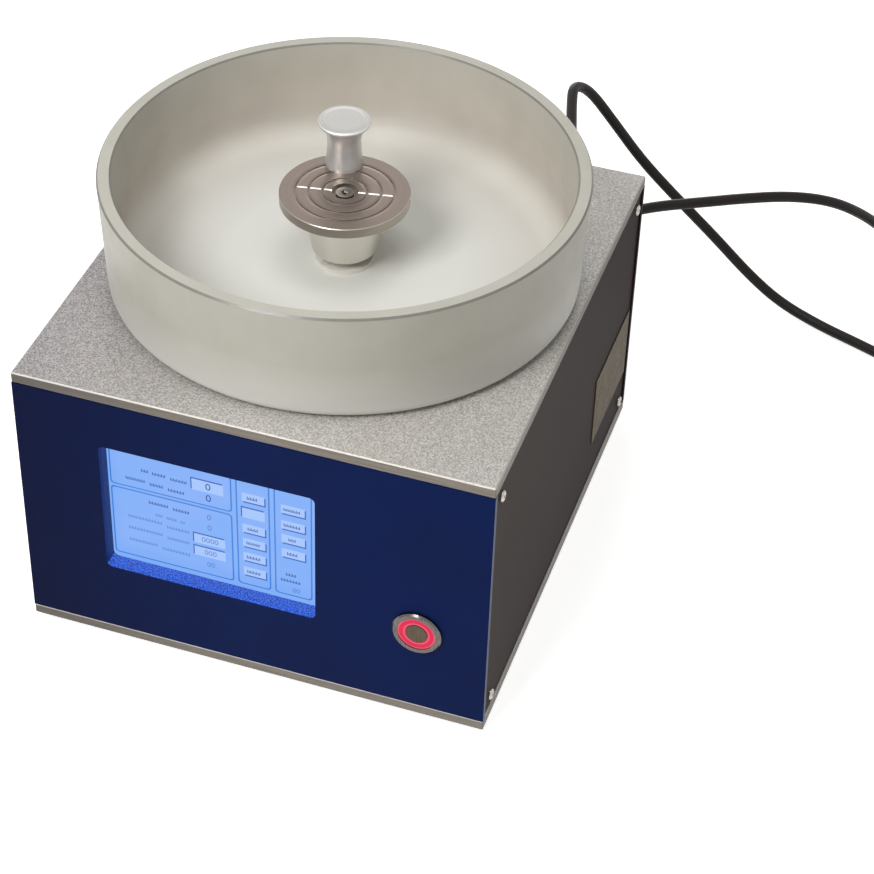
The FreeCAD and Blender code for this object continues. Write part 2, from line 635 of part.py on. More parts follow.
def panel_fasteners():
    """M3 screws in the side and rear panels, the feet and the fan, and the front panel's four nuts."""
    fasteners = [button_screw((x, y, FOOT_SINK_DEPTH), Z_AXIS) for x, y in foot_places()]
    fasteners += [fan_screw(place) for place in fan_screw_places()]
    for side in (-1, 1):
        for end in (-1, 1):
            for z in SCREW_LEVELS:
                seat = (side * SIDE_OUTER, end * (HALF_DEPTH - SCREW_FROM_END), z)
                fasteners.append(button_screw(seat, X_AXIS * -side))
        for z in SCREW_LEVELS:
            fasteners.append(button_screw((rear_screw_x(side), HALF_DEPTH, z), Y_AXIS * -1))
        for z in STUD_LEVELS:
            start = (side * (POST_X - STUD_OFFSET), FRONT_INNER + POST_SIZE, z)
            nut = hexagon(start, Y_AXIS, NUT_RADIUS, NUT_HEIGHT)
            fasteners.append(nut.cut(rod(start, Y_AXIS, M3_RADIUS + SEAT_CLEARANCE, NUT_HEIGHT)))
    return group(fasteners)


def side_panel(side):
    x_range = sorted((side * SIDE_INNER, side * SIDE_OUTER))
    panel = block(x_range, (FRONT_INNER, REAR_INNER), (BASE_TOP, TOP_UNDERSIDE))
    for end in (-1, 1):
        for z in SCREW_LEVELS:
            start = (x_range[0], end * (HALF_DEPTH - SCREW_FROM_END), z)
            panel = panel.cut(rod(start, X_AXIS, M3_RADIUS + HOLE_CLEARANCE, SIDE_THICKNESS))
    return panel


def front_panel():
    """Painted panel with the display window, the button hole and four studs behind it."""
    panel = block((-HALF_WIDTH, HALF_WIDTH), (-HALF_DEPTH, FRONT_INNER), (BASE_TOP, TOP_UNDERSIDE))
    panel = panel.cut(window_block((-HALF_DEPTH, FRONT_INNER)))
    hole_radius = BUTTON_BARREL_RADIUS + HOLE_CLEARANCE
    panel = panel.cut(rod((BUTTON_X, -HALF_DEPTH, BUTTON_Z), Y_AXIS, hole_radius, FRONT_THICKNESS))
    for side in (-1, 1):
        for z in STUD_LEVELS:
            start = (side * (POST_X - STUD_OFFSET), FRONT_INNER, z)
            panel = panel.fuse(rod(start, Y_AXIS, M3_RADIUS, POST_SIZE + STUD_TAIL))
    return panel


def rear_panel():
    """Panel with openings for the inlet, the fan and the hose fitting."""
    panel = block((-HALF_WIDTH, HALF_WIDTH), (REAR_INNER, HALF_DEPTH), (BASE_TOP, TOP_UNDERSIDE))
    panel = panel.cut(inlet_body_block(HOLE_CLEARANCE))
    panel = panel.cut(rod((FAN_X, REAR_INNER, FAN_Z), Y_AXIS, FAN_HOLE_RADIUS, REAR_THICKNESS))
    hose_hole = FITTING_THREAD_RADIUS + HOLE_CLEARANCE
    panel = panel.cut(rod((HOSE_X, REAR_INNER, HOSE_Z), Y_AXIS, hose_hole, REAR_THICKNESS))
    for side in (-1, 1):
        for z in SCREW_LEVELS:
            start = (rear_screw_x(side), REAR_INNER, z)
            panel = panel.cut(rod(start, Y_AXIS, M3_RADIUS + HOLE_CLEARANCE, REAR_THICKNESS))
    for x, z in fan_screw_places():
        panel = panel.cut(rod((x, REAR_INNER, z), Y_AXIS, GUARD_EAR_BORE, REAR_THICKNESS))
    return panel


def foot_places():
    return corner_places(HALF_WIDTH - FOOT_INSET, HALF_DEPTH - FOOT_INSET)


def foot_screw_grip():
    return M3_LENGTH - (FOOT_HEIGHT - FOOT_SINK_DEPTH)


def rubber_feet():
    feet = []
    for x, y in foot_places():
        foot = rod((x, y, 0), Z_AXIS, FOOT_RADIUS, FOOT_HEIGHT)
        foot = foot.cut(rod((x, y, 0), Z_AXIS, FOOT_SINK_RADIUS, FOOT_SINK_DEPTH))
        feet.append(foot.cut(rod((x, y, 0), Z_AXIS, M3_RADIUS + HOLE_CLEARANCE, FOOT_HEIGHT)))
    return group(feet)


def side_label():
    """Blank rating plate on the right side panel."""
    return block((SIDE_OUTER, SIDE_OUTER + LABEL_THICKNESS), LABEL_Y, LABEL_Z)


# ---------------------------------------------------------------- bowl
def bowl():
    """Frosted glass dish, drafted outward, with a hole for the spindle."""
    draft = (BOWL_RIM_RADIUS - BOWL_BASE_RADIUS) / BOWL_HEIGHT
    dish = turned(((0, BOWL_BOTTOM), (BOWL_BASE_RADIUS, BOWL_BOTTOM),
                   (BOWL_RIM_RADIUS, BOWL_TOP), (0, BOWL_TOP)))
    base_edge = [edge for edge in dish.Edges if abs(edge.BoundBox.ZMax - BOWL_BOTTOM) < 0.01]
    dish = dish.makeFillet(BOWL_OUTER_CORNER, base_edge)
    inner_floor_radius = BOWL_BASE_RADIUS + draft * BOWL_FLOOR - BOWL_WALL
    inside = turned(((0, BOWL_FLOOR_TOP), (inner_floor_radius, BOWL_FLOOR_TOP),
                     (BOWL_RIM_RADIUS - BOWL_WALL, BOWL_TOP), (0, BOWL_TOP)))
    floor_edge = [edge for edge in inside.Edges if abs(edge.BoundBox.ZMax - BOWL_FLOOR_TOP) < 0.01]
    dish = dish.cut(inside.makeFillet(BOWL_INNER_CORNER, floor_edge))
    rim_edges = [edge for edge in dish.Edges if edge.BoundBox.ZMin > BOWL_TOP - 0.01]
    dish = dish.makeChamfer(BOWL_RIM_CHAMFER, rim_edges)
    dish = dish.cut(rod((0, 0, BOWL_BOTTOM), Z_AXIS, BOWL_HOLE_RADIUS, BOWL_FLOOR))
    for x, y in collar_screw_places():
        hole = COLLAR_SCREW_RADIUS + HOLE_CLEARANCE
        dish = dish.cut(rod((x, y, BOWL_BOTTOM), Z_AXIS, hole, BOWL_FLOOR))
    return dish


def bowl_gasket():
    return ring((0, 0, CASE_TOP), Z_AXIS, GASKET_RADIUS - GASKET_WIDTH, GASKET_RADIUS, GASKET_THICKNESS)


def collar_screw_places():
    places = []
    for step in range(COLLAR_SCREWS):
        angle = 2 * math.pi * step / COLLAR_SCREWS
        places.append((COLLAR_SCREW_CIRCLE * math.cos(angle), COLLAR_SCREW_CIRCLE * math.sin(angle)))
    return places


def bowl_collar():
    """Flanged bush that clamps the bowl and keeps liquid out of the spindle hole."""
    flange_top = BOWL_FLOOR_TOP + COLLAR_FLANGE_HEIGHT
    lip_radius = COLLAR_BORE_RADIUS + COLLAR_LIP_WALL
    collar = rod((0, 0, BOWL_FLOOR_TOP), Z_AXIS, COLLAR_FLANGE_RADIUS, COLLAR_FLANGE_HEIGHT)
    neck_length = BOWL_FLOOR_TOP - TOP_UNDERSIDE
    collar = collar.fuse(rod((0, 0, TOP_UNDERSIDE), Z_AXIS, COLLAR_NECK_RADIUS, neck_length))
    collar = collar.fuse(rod((0, 0, flange_top), Z_AXIS, lip_radius, COLLAR_LIP_HEIGHT))
    full_length = neck_length + COLLAR_FLANGE_HEIGHT + COLLAR_LIP_HEIGHT
    collar = collar.cut(rod((0, 0, TOP_UNDERSIDE), Z_AXIS, COLLAR_BORE_RADIUS, full_length))
    for x, y in collar_screw_places():
        hole = COLLAR_SCREW_RADIUS + HOLE_CLEARANCE
        collar = collar.cut(rod((x, y, BOWL_FLOOR_TOP), Z_AXIS, hole, COLLAR_FLANGE_HEIGHT))
        seat = (x, y, flange_top - COLLAR_SCREW_HEAD_HEIGHT)
        sink = COLLAR_SCREW_HEAD + HOLE_CLEARANCE
        collar = collar.cut(rod(seat, Z_AXIS, sink, COLLAR_SCREW_HEAD_HEIGHT + COLLAR_LIP_HEIGHT))
    return collar


def collar_screws():
    screws = []
    seat = BOWL_FLOOR_TOP + COLLAR_FLANGE_HEIGHT - COLLAR_SCREW_HEAD_HEIGHT
    tip = CASE_TOP - COLLAR_SCREW_GRIP
    for x, y in collar_screw_places():
        head = rod((x, y, seat), Z_AXIS, COLLAR_SCREW_HEAD, COLLAR_SCREW_HEAD_HEIGHT)
        screws.append(head.fuse(rod((x, y, tip), Z_AXIS, COLLAR_SCREW_RADIUS, seat - tip)))
    return group(screws)


# ---------------------------------------------------------------- chucks
def chuck():
    """Grooved aluminium vacuum chuck: disc, step and tapered hub, bored for the spindle."""
    disc_bottom = CHUCK_TOP - CHUCK_THICKNESS
    step_bottom = disc_bottom - CHUCK_STEP_HEIGHT
    body = rod((0, 0, disc_bottom), Z_AXIS, CHUCK_RADIUS, CHUCK_THICKNESS)
    body = body.makeChamfer(EDGE_CHAMFER / 2, body.Edges[:1])
    body = body.fuse(rod((0, 0, step_bottom), Z_AXIS, CHUCK_STEP_RADIUS, CHUCK_STEP_HEIGHT))
    hub_height = step_bottom - HUB_BOTTOM
    hub = Part.makeCone(CHUCK_HUB_RADIUS, CHUCK_HUB_TOP_RADIUS, hub_height, Vector(0, 0, HUB_BOTTOM))
    lower_edges = [edge for edge in hub.Edges if edge.BoundBox.ZMax < HUB_BOTTOM + 0.1]
    body = body.fuse(hub.makeFillet(CHUCK_HUB_ROUND, lower_edges))
    bore = SPINDLE_RADIUS + SEAT_CLEARANCE
    body = body.cut(rod((0, 0, HUB_BOTTOM), Z_AXIS, bore, SPINDLE_TOP - HUB_BOTTOM))
    body = body.cut(rod((0, 0, CHUCK_RECESS_FLOOR), Z_AXIS, CHUCK_RECESS_RADIUS, CHUCK_RECESS_DEPTH))
    screw_hole = CHUCK_SCREW_RADIUS + HOLE_CLEARANCE
    body = body.cut(rod((0, 0, SPINDLE_TOP), Z_AXIS, screw_hole, CHUCK_WEB))
    groove_floor = CHUCK_TOP - GROOVE_DEPTH
    for radius in GROOVE_RADII:
        inner = radius - GROOVE_WIDTH / 2
        body = body.cut(ring((0, 0, groove_floor), Z_AXIS, inner, radius + GROOVE_WIDTH / 2, GROOVE_DEPTH))
    half_length = CROSS_GROOVE_LENGTH / 2
    half_width = GROOVE_WIDTH / 2
    cross = block((-half_length, half_length), (-half_width, half_width), (groove_floor, CHUCK_TOP))
    cross.rotate(Vector(0, 0, 0), Z_AXIS, CROSS_GROOVE_ANGLE)
    return body.cut(cross)


def chuck_screw():
    """Hollow screw that holds the chuck down and leads the vacuum to its top."""
    head = rod((0, 0, CHUCK_RECESS_FLOOR), Z_AXIS, CHUCK_SCREW_HEAD_RADIUS, CHUCK_SCREW_HEAD_HEIGHT)
    slot_floor = CHUCK_RECESS_FLOOR + CHUCK_SCREW_HEAD_HEIGHT / 2
    head = head.cut(hexagon((0, 0, slot_floor), Z_AXIS, CHUCK_SCREW_RADIUS, CHUCK_SCREW_HEAD_HEIGHT))
    shank_bottom = CHUCK_RECESS_FLOOR - CHUCK_SCREW_LENGTH
    screw = head.fuse(rod((0, 0, shank_bottom), Z_AXIS, CHUCK_SCREW_RADIUS, CHUCK_SCREW_LENGTH))
    bore_length = CHUCK_SCREW_LENGTH + CHUCK_SCREW_HEAD_HEIGHT
    return screw.cut(rod((0, 0, shank_bottom), Z_AXIS, SUCTION_RADIUS, bore_length))


def chuck_o_ring():
    """Rubber ring in the spindle's groove, against the chuck's bore."""
    inner = SPINDLE_RADIUS - RING_GROOVE_DEPTH
    return ring((0, 0, RING_LEVEL), Z_AXIS, inner, SPINDLE_RADIUS + SEAT_CLEARANCE, RING_HEIGHT)


def small_chuck():
    """Loose tee-shaped chuck for small samples, bored from below for the spindle."""
    base = CHUCK_TOP
    top = base + SMALL_CHUCK_HEIGHT
    rim_inner = SMALL_CHUCK_TOP_RADIUS - SMALL_CHUCK_RIM / 2

    def at(radius, z):
        return Vector(radius, 0, z)

    foot = at(SMALL_CHUCK_BASE_RADIUS, base)
    flare_start = at(SMALL_CHUCK_BASE_RADIUS, base + SMALL_CHUCK_FOOT_HEIGHT)
    waist = at(SMALL_CHUCK_NECK_RADIUS, base + SMALL_CHUCK_HEIGHT * 0.5)
    under_rim = at(rim_inner, top - SMALL_CHUCK_RIM)
    rim_top = at(rim_inner, top)
    lower_middle = at(SMALL_CHUCK_NECK_RADIUS + SMALL_CHUCK_LOWER_FLARE, base + SMALL_CHUCK_HEIGHT * 0.3)
    upper_middle = at(SMALL_CHUCK_NECK_RADIUS + SMALL_CHUCK_UPPER_FLARE, base + SMALL_CHUCK_HEIGHT * 0.76)
    rim_bulge = at(SMALL_CHUCK_TOP_RADIUS, top - SMALL_CHUCK_RIM / 2)
    edges = [Part.LineSegment(at(0, base), foot).toShape(),
             Part.LineSegment(foot, flare_start).toShape(),
             Part.Arc(flare_start, lower_middle, waist).toShape(),
             Part.Arc(waist, upper_middle, under_rim).toShape(),
             Part.Arc(under_rim, rim_bulge, rim_top).toShape(),
             Part.LineSegment(rim_top, at(0, top)).toShape(),
             Part.LineSegment(at(0, top), at(0, base)).toShape()]
    solid = Part.Face(Part.Wire(edges)).revolve(Vector(0, 0, 0), Z_AXIS, 360)
    solid = solid.cut(rod((0, 0, base), Z_AXIS, SMALL_CHUCK_BORE_RADIUS, SMALL_CHUCK_BORE_DEPTH))
    solid.translate(Vector(SMALL_CHUCK_X, SMALL_CHUCK_Y, 0))
    return solid


# ---------------------------------------------------------------- motor
def motor_bolt_places():
    return corner_places(MOTOR_BOLT_PITCH / 2, MOTOR_BOLT_PITCH / 2)


def motor_spindle():
    """Hollow spindle from the rotary union up into the chuck."""
    length = SPINDLE_TOP - SPINDLE_BOTTOM
    spindle = ring((0, 0, SPINDLE_BOTTOM), Z_AXIS, SPINDLE_BORE_RADIUS, SPINDLE_RADIUS, length)
    thread_depth = CHUCK_SCREW_LENGTH - CHUCK_WEB + BLIND_EXTRA
    spindle = spindle.cut(rod((0, 0, SPINDLE_TOP - thread_depth), Z_AXIS, CHUCK_SCREW_RADIUS, thread_depth))
    groove_start = (0, 0, RING_LEVEL - (RING_GROOVE_HEIGHT - RING_HEIGHT) / 2)
    inner = SPINDLE_RADIUS - RING_GROOVE_DEPTH
    return spindle.cut(ring(groove_start, Z_AXIS, inner, 2 * SPINDLE_RADIUS, RING_GROOVE_HEIGHT))


def motor_housing():
    """Square flange and round can, with the upper bearing's seat."""
    half = MOTOR_FLANGE / 2
    flange = block((-half, half), (-half, half), (CAN_TOP, FLANGE_TOP))
    flange = flange.makeFillet(MOTOR_FLANGE_CORNER, vertical_edges(flange))
    flange = flange.cut(rod((0, 0, CAN_TOP), Z_AXIS, BEARING_RADIUS, BEARING_HEIGHT))
    through = BEARING_RADIUS - BEARING_SHOULDER
    flange = flange.cut(rod((0, 0, CAN_TOP), Z_AXIS, through, MOTOR_FLANGE_THICKNESS))
    can = ring((0, 0, CAN_BOTTOM), Z_AXIS, CAN_BORE_RADIUS, MOTOR_CAN_RADIUS, MOTOR_CAN_LENGTH)
    housing = flange.fuse(can)
    for x, y in motor_bolt_places():
        hole = MOTOR_BOLT_RADIUS + HOLE_CLEARANCE
        housing = housing.cut(rod((x, y, CAN_TOP), Z_AXIS, hole, MOTOR_FLANGE_THICKNESS))
    return housing


def motor_end_bell():
    """Lower cover, with the lower bearing's seat."""
    bell = rod((0, 0, BELL_BOTTOM), Z_AXIS, MOTOR_CAN_RADIUS, BELL_THICKNESS)
    spigot = ring((0, 0, CAN_BOTTOM), Z_AXIS, BEARING_RADIUS, CAN_BORE_RADIUS - SEAT_CLEARANCE, BELL_SPIGOT)
    bell = bell.fuse(spigot)
    bell = bell.cut(rod((0, 0, LOWER_BEARING), Z_AXIS, BEARING_RADIUS, BEARING_HEIGHT))
    return bell.cut(rod((0, 0, BELL_BOTTOM), Z_AXIS, BELL_HOLE_RADIUS, BELL_THICKNESS))


def motor_stator():
    inner = ROTOR_RADIUS + AIR_GAP
    return ring((0, 0, ROTOR_BOTTOM), Z_AXIS, inner, CAN_BORE_RADIUS - SEAT_CLEARANCE, ROTOR_LENGTH)


def motor_rotor():
    return ring((0, 0, ROTOR_BOTTOM), Z_AXIS, SPINDLE_RADIUS + SEAT_CLEARANCE, ROTOR_RADIUS, ROTOR_LENGTH)


def bearing_rings(inner, outer):
    """One ring of both bearings."""
    rings = []
    for level in (UPPER_BEARING, LOWER_BEARING):
        rings.append(ring((0, 0, level), Z_AXIS, inner, outer, BEARING_HEIGHT))
    return group(rings)


def motor_standoffs():
    standoffs = []
    inner = MOTOR_BOLT_RADIUS + HOLE_CLEARANCE
    outer = MOTOR_STANDOFF_RADIUS
    for x, y in motor_bolt_places():
        standoffs.append(ring((x, y, FLANGE_TOP), Z_AXIS, inner, outer, MOTOR_STANDOFF_HEIGHT))
    return group(standoffs)


def motor_screws():
    screws = []
    shank_length = MOTOR_FLANGE_THICKNESS + MOTOR_STANDOFF_HEIGHT + MOTOR_BOLT_GRIP
    for x, y in motor_bolt_places():
        head_bottom = CAN_TOP - MOTOR_BOLT_HEAD_HEIGHT
        head = rod((x, y, head_bottom), Z_AXIS, MOTOR_BOLT_HEAD_RADIUS, MOTOR_BOLT_HEAD_HEIGHT)
        head = head.cut(hexagon((x, y, head_bottom), Z_AXIS, MOTOR_BOLT_RADIUS, MOTOR_BOLT_HEAD_HEIGHT / 2))
        screws.append(head.fuse(rod((x, y, CAN_TOP), Z_AXIS, MOTOR_BOLT_RADIUS, shank_length)))
    return group(screws)


# ---------------------------------------------------------------- vacuum line
def rotary_union():
    """Fixed cup under the motor in which the hollow spindle's end turns."""
    body = rod((0, 0, UNION_BOTTOM), Z_AXIS, UNION_RADIUS, UNION_LENGTH)
    body = body.fuse(rod((0, UNION_RADIUS - 1, UNION_PORT_Z), Y_AXIS, PORT_RADIUS, PORT_LENGTH + 1))
    cavity_bottom = SPINDLE_BOTTOM - UNION_CAVITY
    bore = SPINDLE_RADIUS + UNION_RUNNING_CLEARANCE
    body = body.cut(rod((0, 0, cavity_bottom), Z_AXIS, bore, BELL_BOTTOM - cavity_bottom))
    port_end = UNION_RADIUS + PORT_LENGTH
    body = body.cut(rod((0, 0, UNION_PORT_Z), Y_AXIS, SUCTION_RADIUS, port_end))
    socket = rod((0, port_end - TUBE_PORT_DEPTH, UNION_PORT_Z), Y_AXIS, TUBE_RADIUS, TUBE_PORT_DEPTH)
    return body.cut(socket)


def valve_port_z():
    return BASE_TOP + VALVE_PORT_HEIGHT


def vacuum_valve():
    """Solenoid valve on the bottom plate: block, coil and two ports."""
    half_width = VALVE_WIDTH / 2
    half_depth = VALVE_DEPTH / 2
    body = block((VALVE_X - half_width, VALVE_X + half_width), (VALVE_Y - half_depth, VALVE_Y + half_depth),
                 (BASE_TOP, BASE_TOP + VALVE_HEIGHT))
    coil_start = (VALVE_X, VALVE_Y, BASE_TOP + VALVE_HEIGHT)
    body = body.fuse(rod(coil_start, Z_AXIS, VALVE_COIL_RADIUS, VALVE_COIL_HEIGHT))
    for direction in (-1, 1):
        face = VALVE_Y + direction * half_depth
        start = (VALVE_X, face, valve_port_z())
        body = body.fuse(rod(start, Y_AXIS * direction, PORT_RADIUS, PORT_LENGTH))
        end = (VALVE_X, face + direction * PORT_LENGTH, valve_port_z())
        body = body.cut(rod(end, Y_AXIS * -direction, TUBE_RADIUS, TUBE_PORT_DEPTH))
    return body


def hose_bulkhead():
    """Push-in fitting through the rear panel, with its nut inside."""
    outside = hexagon((HOSE_X, HALF_DEPTH, HOSE_Z), Y_AXIS, FITTING_HEX_RADIUS, FITTING_HEX_LENGTH)
    sleeve_start = HALF_DEPTH + FITTING_HEX_LENGTH
    sleeve = rod((HOSE_X, sleeve_start, HOSE_Z), Y_AXIS, FITTING_SLEEVE_RADIUS, FITTING_SLEEVE_LENGTH)
    nut_start = REAR_INNER - FITTING_NUT_LENGTH
    nut = hexagon((HOSE_X, nut_start, HOSE_Z), Y_AXIS, FITTING_HEX_RADIUS, FITTING_NUT_LENGTH)
    tail_start = REAR_INNER - FITTING_INNER_LENGTH
    tail = rod((HOSE_X, tail_start, HOSE_Z), Y_AXIS, FITTING_THREAD_RADIUS, HALF_DEPTH - tail_start)
    fitting = outside.fuse(sleeve).fuse(nut).fuse(tail)
    fitting = fitting.cut(rod((HOSE_X, tail_start, HOSE_Z), Y_AXIS, TUBE_RADIUS, TUBE_PORT_DEPTH))
    through = sleeve_start + FITTING_SLEEVE_LENGTH - tail_start
    return fitting.cut(rod((HOSE_X, tail_start, HOSE_Z), Y_AXIS, SUCTION_RADIUS, through))


def vacuum_tubes():
    """Two soft tubes: union to valve, and valve to the rear fitting."""
    union_end = UNION_RADIUS + PORT_LENGTH - TUBE_PORT_DEPTH
    valve_in = VALVE_Y - VALVE_DEPTH / 2 - PORT_LENGTH + TUBE_PORT_DEPTH
    valve_out = VALVE_Y + VALVE_DEPTH / 2 + PORT_LENGTH - TUBE_PORT_DEPTH
    tail_start = REAR_INNER - FITTING_INNER_LENGTH + TUBE_PORT_DEPTH
    level = valve_port_z()
    bend = TUBE_BEND
    first = ((0, union_end, UNION_PORT_Z), (0, union_end + bend, UNION_PORT_Z),
             (bend, union_end + 1.6 * bend, (UNION_PORT_Z + level) / 2),
             (VALVE_X - bend, valve_in - 1.2 * bend, level + 4), (VALVE_X, valve_in - bend, level),
             (VALVE_X, valve_in, level))
    second = ((VALVE_X, valve_out, level), (VALVE_X, valve_out + bend, level),
              (VALVE_X + bend, valve_out + 0.9 * bend, level + bend),
              (VALVE_X + 2 * bend, valve_out - 0.4 * bend, (level + HOSE_Z) / 2),
              (HOSE_X - 0.5 * bend, tail_start - 1.6 * bend, HOSE_Z - bend),
              (HOSE_X, tail_start - bend, HOSE_Z), (HOSE_X, tail_start, HOSE_Z))
    return group([tube_along(first, TUBE_RADIUS), tube_along(second, TUBE_RADIUS)])


# ---------------------------------------------------------------- electronics
def power_supply():
    """Switch-mode supply: folded case with vents and a terminal block at its front end."""
    case = block(SUPPLY_X, SUPPLY_Y, (BASE_TOP, BASE_TOP + SUPPLY_HEIGHT))
    cover = SUPPLY_HEIGHT / 2
    terminal = block((SUPPLY_X[0] + SUPPLY_WALL, SUPPLY_X[1] - SUPPLY_WALL),
                     (SUPPLY_Y[0], SUPPLY_Y[0] + SUPPLY_TERMINAL_DEPTH),
                     (BASE_TOP + cover, BASE_TOP + SUPPLY_HEIGHT))
    case = case.cut(terminal)
    vent_top = BASE_TOP + SUPPLY_HEIGHT
    across = (SUPPLY_WIDTH - 2 * VENT_MARGIN) / (VENT_ROWS - 1)
    along = (SUPPLY_LENGTH - VENT_FROM_FRONT - VENT_FROM_REAR) / (VENT_COLUMNS - 1)
    for row in range(VENT_ROWS):
        for column in range(VENT_COLUMNS):
            x = SUPPLY_X[0] + VENT_MARGIN + row * across
            y = SUPPLY_Y[0] + VENT_FROM_FRONT + column * along
            case = case.cut(rod((x, y, vent_top - SUPPLY_WALL), Z_AXIS, VENT_RADIUS, SUPPLY_WALL))
    return case


def board_corners(x_range, y_range):
    corners = []
    for x in (x_range[0] + STANDOFF_INSET, x_range[1] - STANDOFF_INSET):
        for y in (y_range[0] + STANDOFF_INSET, y_range[1] - STANDOFF_INSET):
            corners.append((x, y))
    return corners


def board_places():
    return board_corners(CONTROL_X, CONTROL_Y) + board_corners(DRIVER_X, DRIVER_Y)


def board_standoffs():
    """Turned pillars with a stud below for the plate and one above for the board."""
    pillars = []
    for x, y in board_places():
        pillar = rod((x, y, BASE_TOP), Z_AXIS, STANDOFF_RADIUS, BOARD_RAISE)
        stud_bottom = BASE_TOP - STANDOFF_STUD_HEIGHT
        stud_length = 2 * STANDOFF_STUD_HEIGHT + BOARD_RAISE
        pillars.append(pillar.fuse(rod((x, y, stud_bottom), Z_AXIS, STANDOFF_STUD_RADIUS, stud_length)))
    return group(pillars)


def circuit_board(x_range, y_range, components):
    """A board on its pillars; components are (x share, y share, length, width, height)."""
    bottom = BASE_TOP + BOARD_RAISE
    top = bottom + BOARD_THICKNESS
    board = block(x_range, y_range, (bottom, top))
    for x, y in board_corners(x_range, y_range):
        board = board.cut(rod((x, y, bottom), Z_AXIS, STANDOFF_STUD_RADIUS + HOLE_CLEARANCE, BOARD_THICKNESS))
    for share_x, share_y, length, width, height in components:
        x = x_range[0] + share_x * (x_range[1] - x_range[0])
        y = y_range[0] + share_y * (y_range[1] - y_range[0])
        part = block((x - length / 2, x + length / 2), (y - width / 2, y + width / 2), (top, top + height))
        board = board.fuse(part)
    return board


def control_board():
    return circuit_board(CONTROL_X, CONTROL_Y, CONTROL_PARTS)


def driver_board():
    header = (0.50, DRIVER_HEADER_SHARE, DRIVER_HEADER_LENGTH, DRIVER_HEADER_DEPTH, DRIVER_HEADER_HEIGHT)
    return circuit_board(DRIVER_X, DRIVER_Y, (header,) + DRIVER_PARTS)


def wiring():
    """Insulated pairs: supply to driver board, and inlet to supply."""
    supply_top = BASE_TOP + SUPPLY_HEIGHT
    terminal_z = BASE_TOP + SUPPLY_HEIGHT / 2
    header_top = BASE_TOP + BOARD_RAISE + BOARD_THICKNESS + DRIVER_HEADER_HEIGHT
    header_y = DRIVER_Y[0] + DRIVER_HEADER_SHARE * (DRIVER_Y[1] - DRIVER_Y[0])
    inlet_back = REAR_INNER - INLET_BODY_DEPTH
    leads = []
    for step in range(2):
        apart = WIRE_SPACING * step
        terminal_x = SUPPLY_X[1] - 12 - apart
        header_x = (DRIVER_X[0] + DRIVER_X[1]) / 2 - 10 + apart
        crossing_z = header_top + 22 + apart
        leads.append((
            (terminal_x, SUPPLY_Y[0] + 7, terminal_z), (terminal_x, SUPPLY_Y[0] + 7, crossing_z - 8),
            (terminal_x + 14, SUPPLY_Y[0] + 5, crossing_z), (header_x - 22, header_y - 2, crossing_z),
            (header_x, header_y, crossing_z - 9), (header_x, header_y, header_top)))
        blade_x = INLET_X - WIRE_SPACING / 2 + apart
        supply_x = SUPPLY_X[1] - 22 + apart
        drop_y = SUPPLY_Y[1] - 30
        leads.append((
            (blade_x, inlet_back, SOCKET_Z), (blade_x, inlet_back - 10, SOCKET_Z),
            (blade_x - 16, inlet_back - 18, SOCKET_Z - 18), (supply_x + 30, drop_y + 6, supply_top + 36),
            (supply_x, drop_y, supply_top + 22), (supply_x, drop_y, supply_top)))
    return group([tube_along(route, WIRE_RADIUS) for route in leads])


# ---------------------------------------------------------------- display
def window_block(y_range):
    return rounded_window((WINDOW_LEFT, WINDOW_RIGHT), (WINDOW_BOTTOM, WINDOW_TOP), y_range, WINDOW_CORNER)


def around_window(margin, y_range):
    return block((WINDOW_LEFT - margin, WINDOW_RIGHT + margin), y_range,
                 (WINDOW_BOTTOM - margin, WINDOW_TOP + margin))


def display_frame():
    """Deep frame bonded behind the window; it holds the glass back from the panel."""
    depth = (FRONT_INNER, FRAME_BACK)
    return around_window(DISPLAY_FRAME_MARGIN, depth).cut(window_block(depth))


def touch_glass():
    return around_window(SCREEN_MARGIN, (FRAME_BACK, GLASS_BACK))


def lcd_panel():
    return around_window(SCREEN_MARGIN, (GLASS_BACK, LCD_BACK))


def display_board():
    """Board behind the screen, with its connector and chips."""
    board = around_window(SCREEN_MARGIN, (LCD_BACK, DISPLAY_BOARD_BACK))
    middle_z = (WINDOW_BOTTOM + WINDOW_TOP) / 2
    for shift_x, shift_z, width, height, depth in (
            (0, 0, 16, 16, 2), (22, -18, 10, 8, 2), (0, -29, 30, 7, 7), (-22, 14, 9, 12, 4)):
        x = WINDOW_X + shift_x
        z = middle_z + shift_z
        part = block((x - width / 2, x + width / 2), (DISPLAY_BOARD_BACK, DISPLAY_BOARD_BACK + depth),
                     (z - height / 2, z + height / 2))
        board = board.fuse(part)
    return board


def display_brackets():
    """Two straps that clamp the screen to the frame."""
    straps = []
    low = WINDOW_BOTTOM - DISPLAY_FRAME_MARGIN
    high = WINDOW_TOP + DISPLAY_FRAME_MARGIN
    strap_back = DISPLAY_BOARD_BACK + BRACKET_THICKNESS
    for side in (-1, 1):
        x = WINDOW_X + side * BRACKET_FROM_MIDDLE
        across = (x - BRACKET_WIDTH / 2, x + BRACKET_WIDTH / 2)
        strap = block(across, (DISPLAY_BOARD_BACK, strap_back), (low, high))
        strap = strap.fuse(block(across, (FRAME_BACK, strap_back), (low, low + BRACKET_LEG)))
        straps.append(strap.fuse(block(across, (FRAME_BACK, strap_back), (high - BRACKET_LEG, high))))
    return group(straps)


# ---------------------------------------------------------------- push button
def from_button_face(depth):
    """A point on the button's axis, measured back from the bezel's face."""
    return (BUTTON_X, -HALF_DEPTH - BEZEL_HEIGHT + depth, BUTTON_Z)


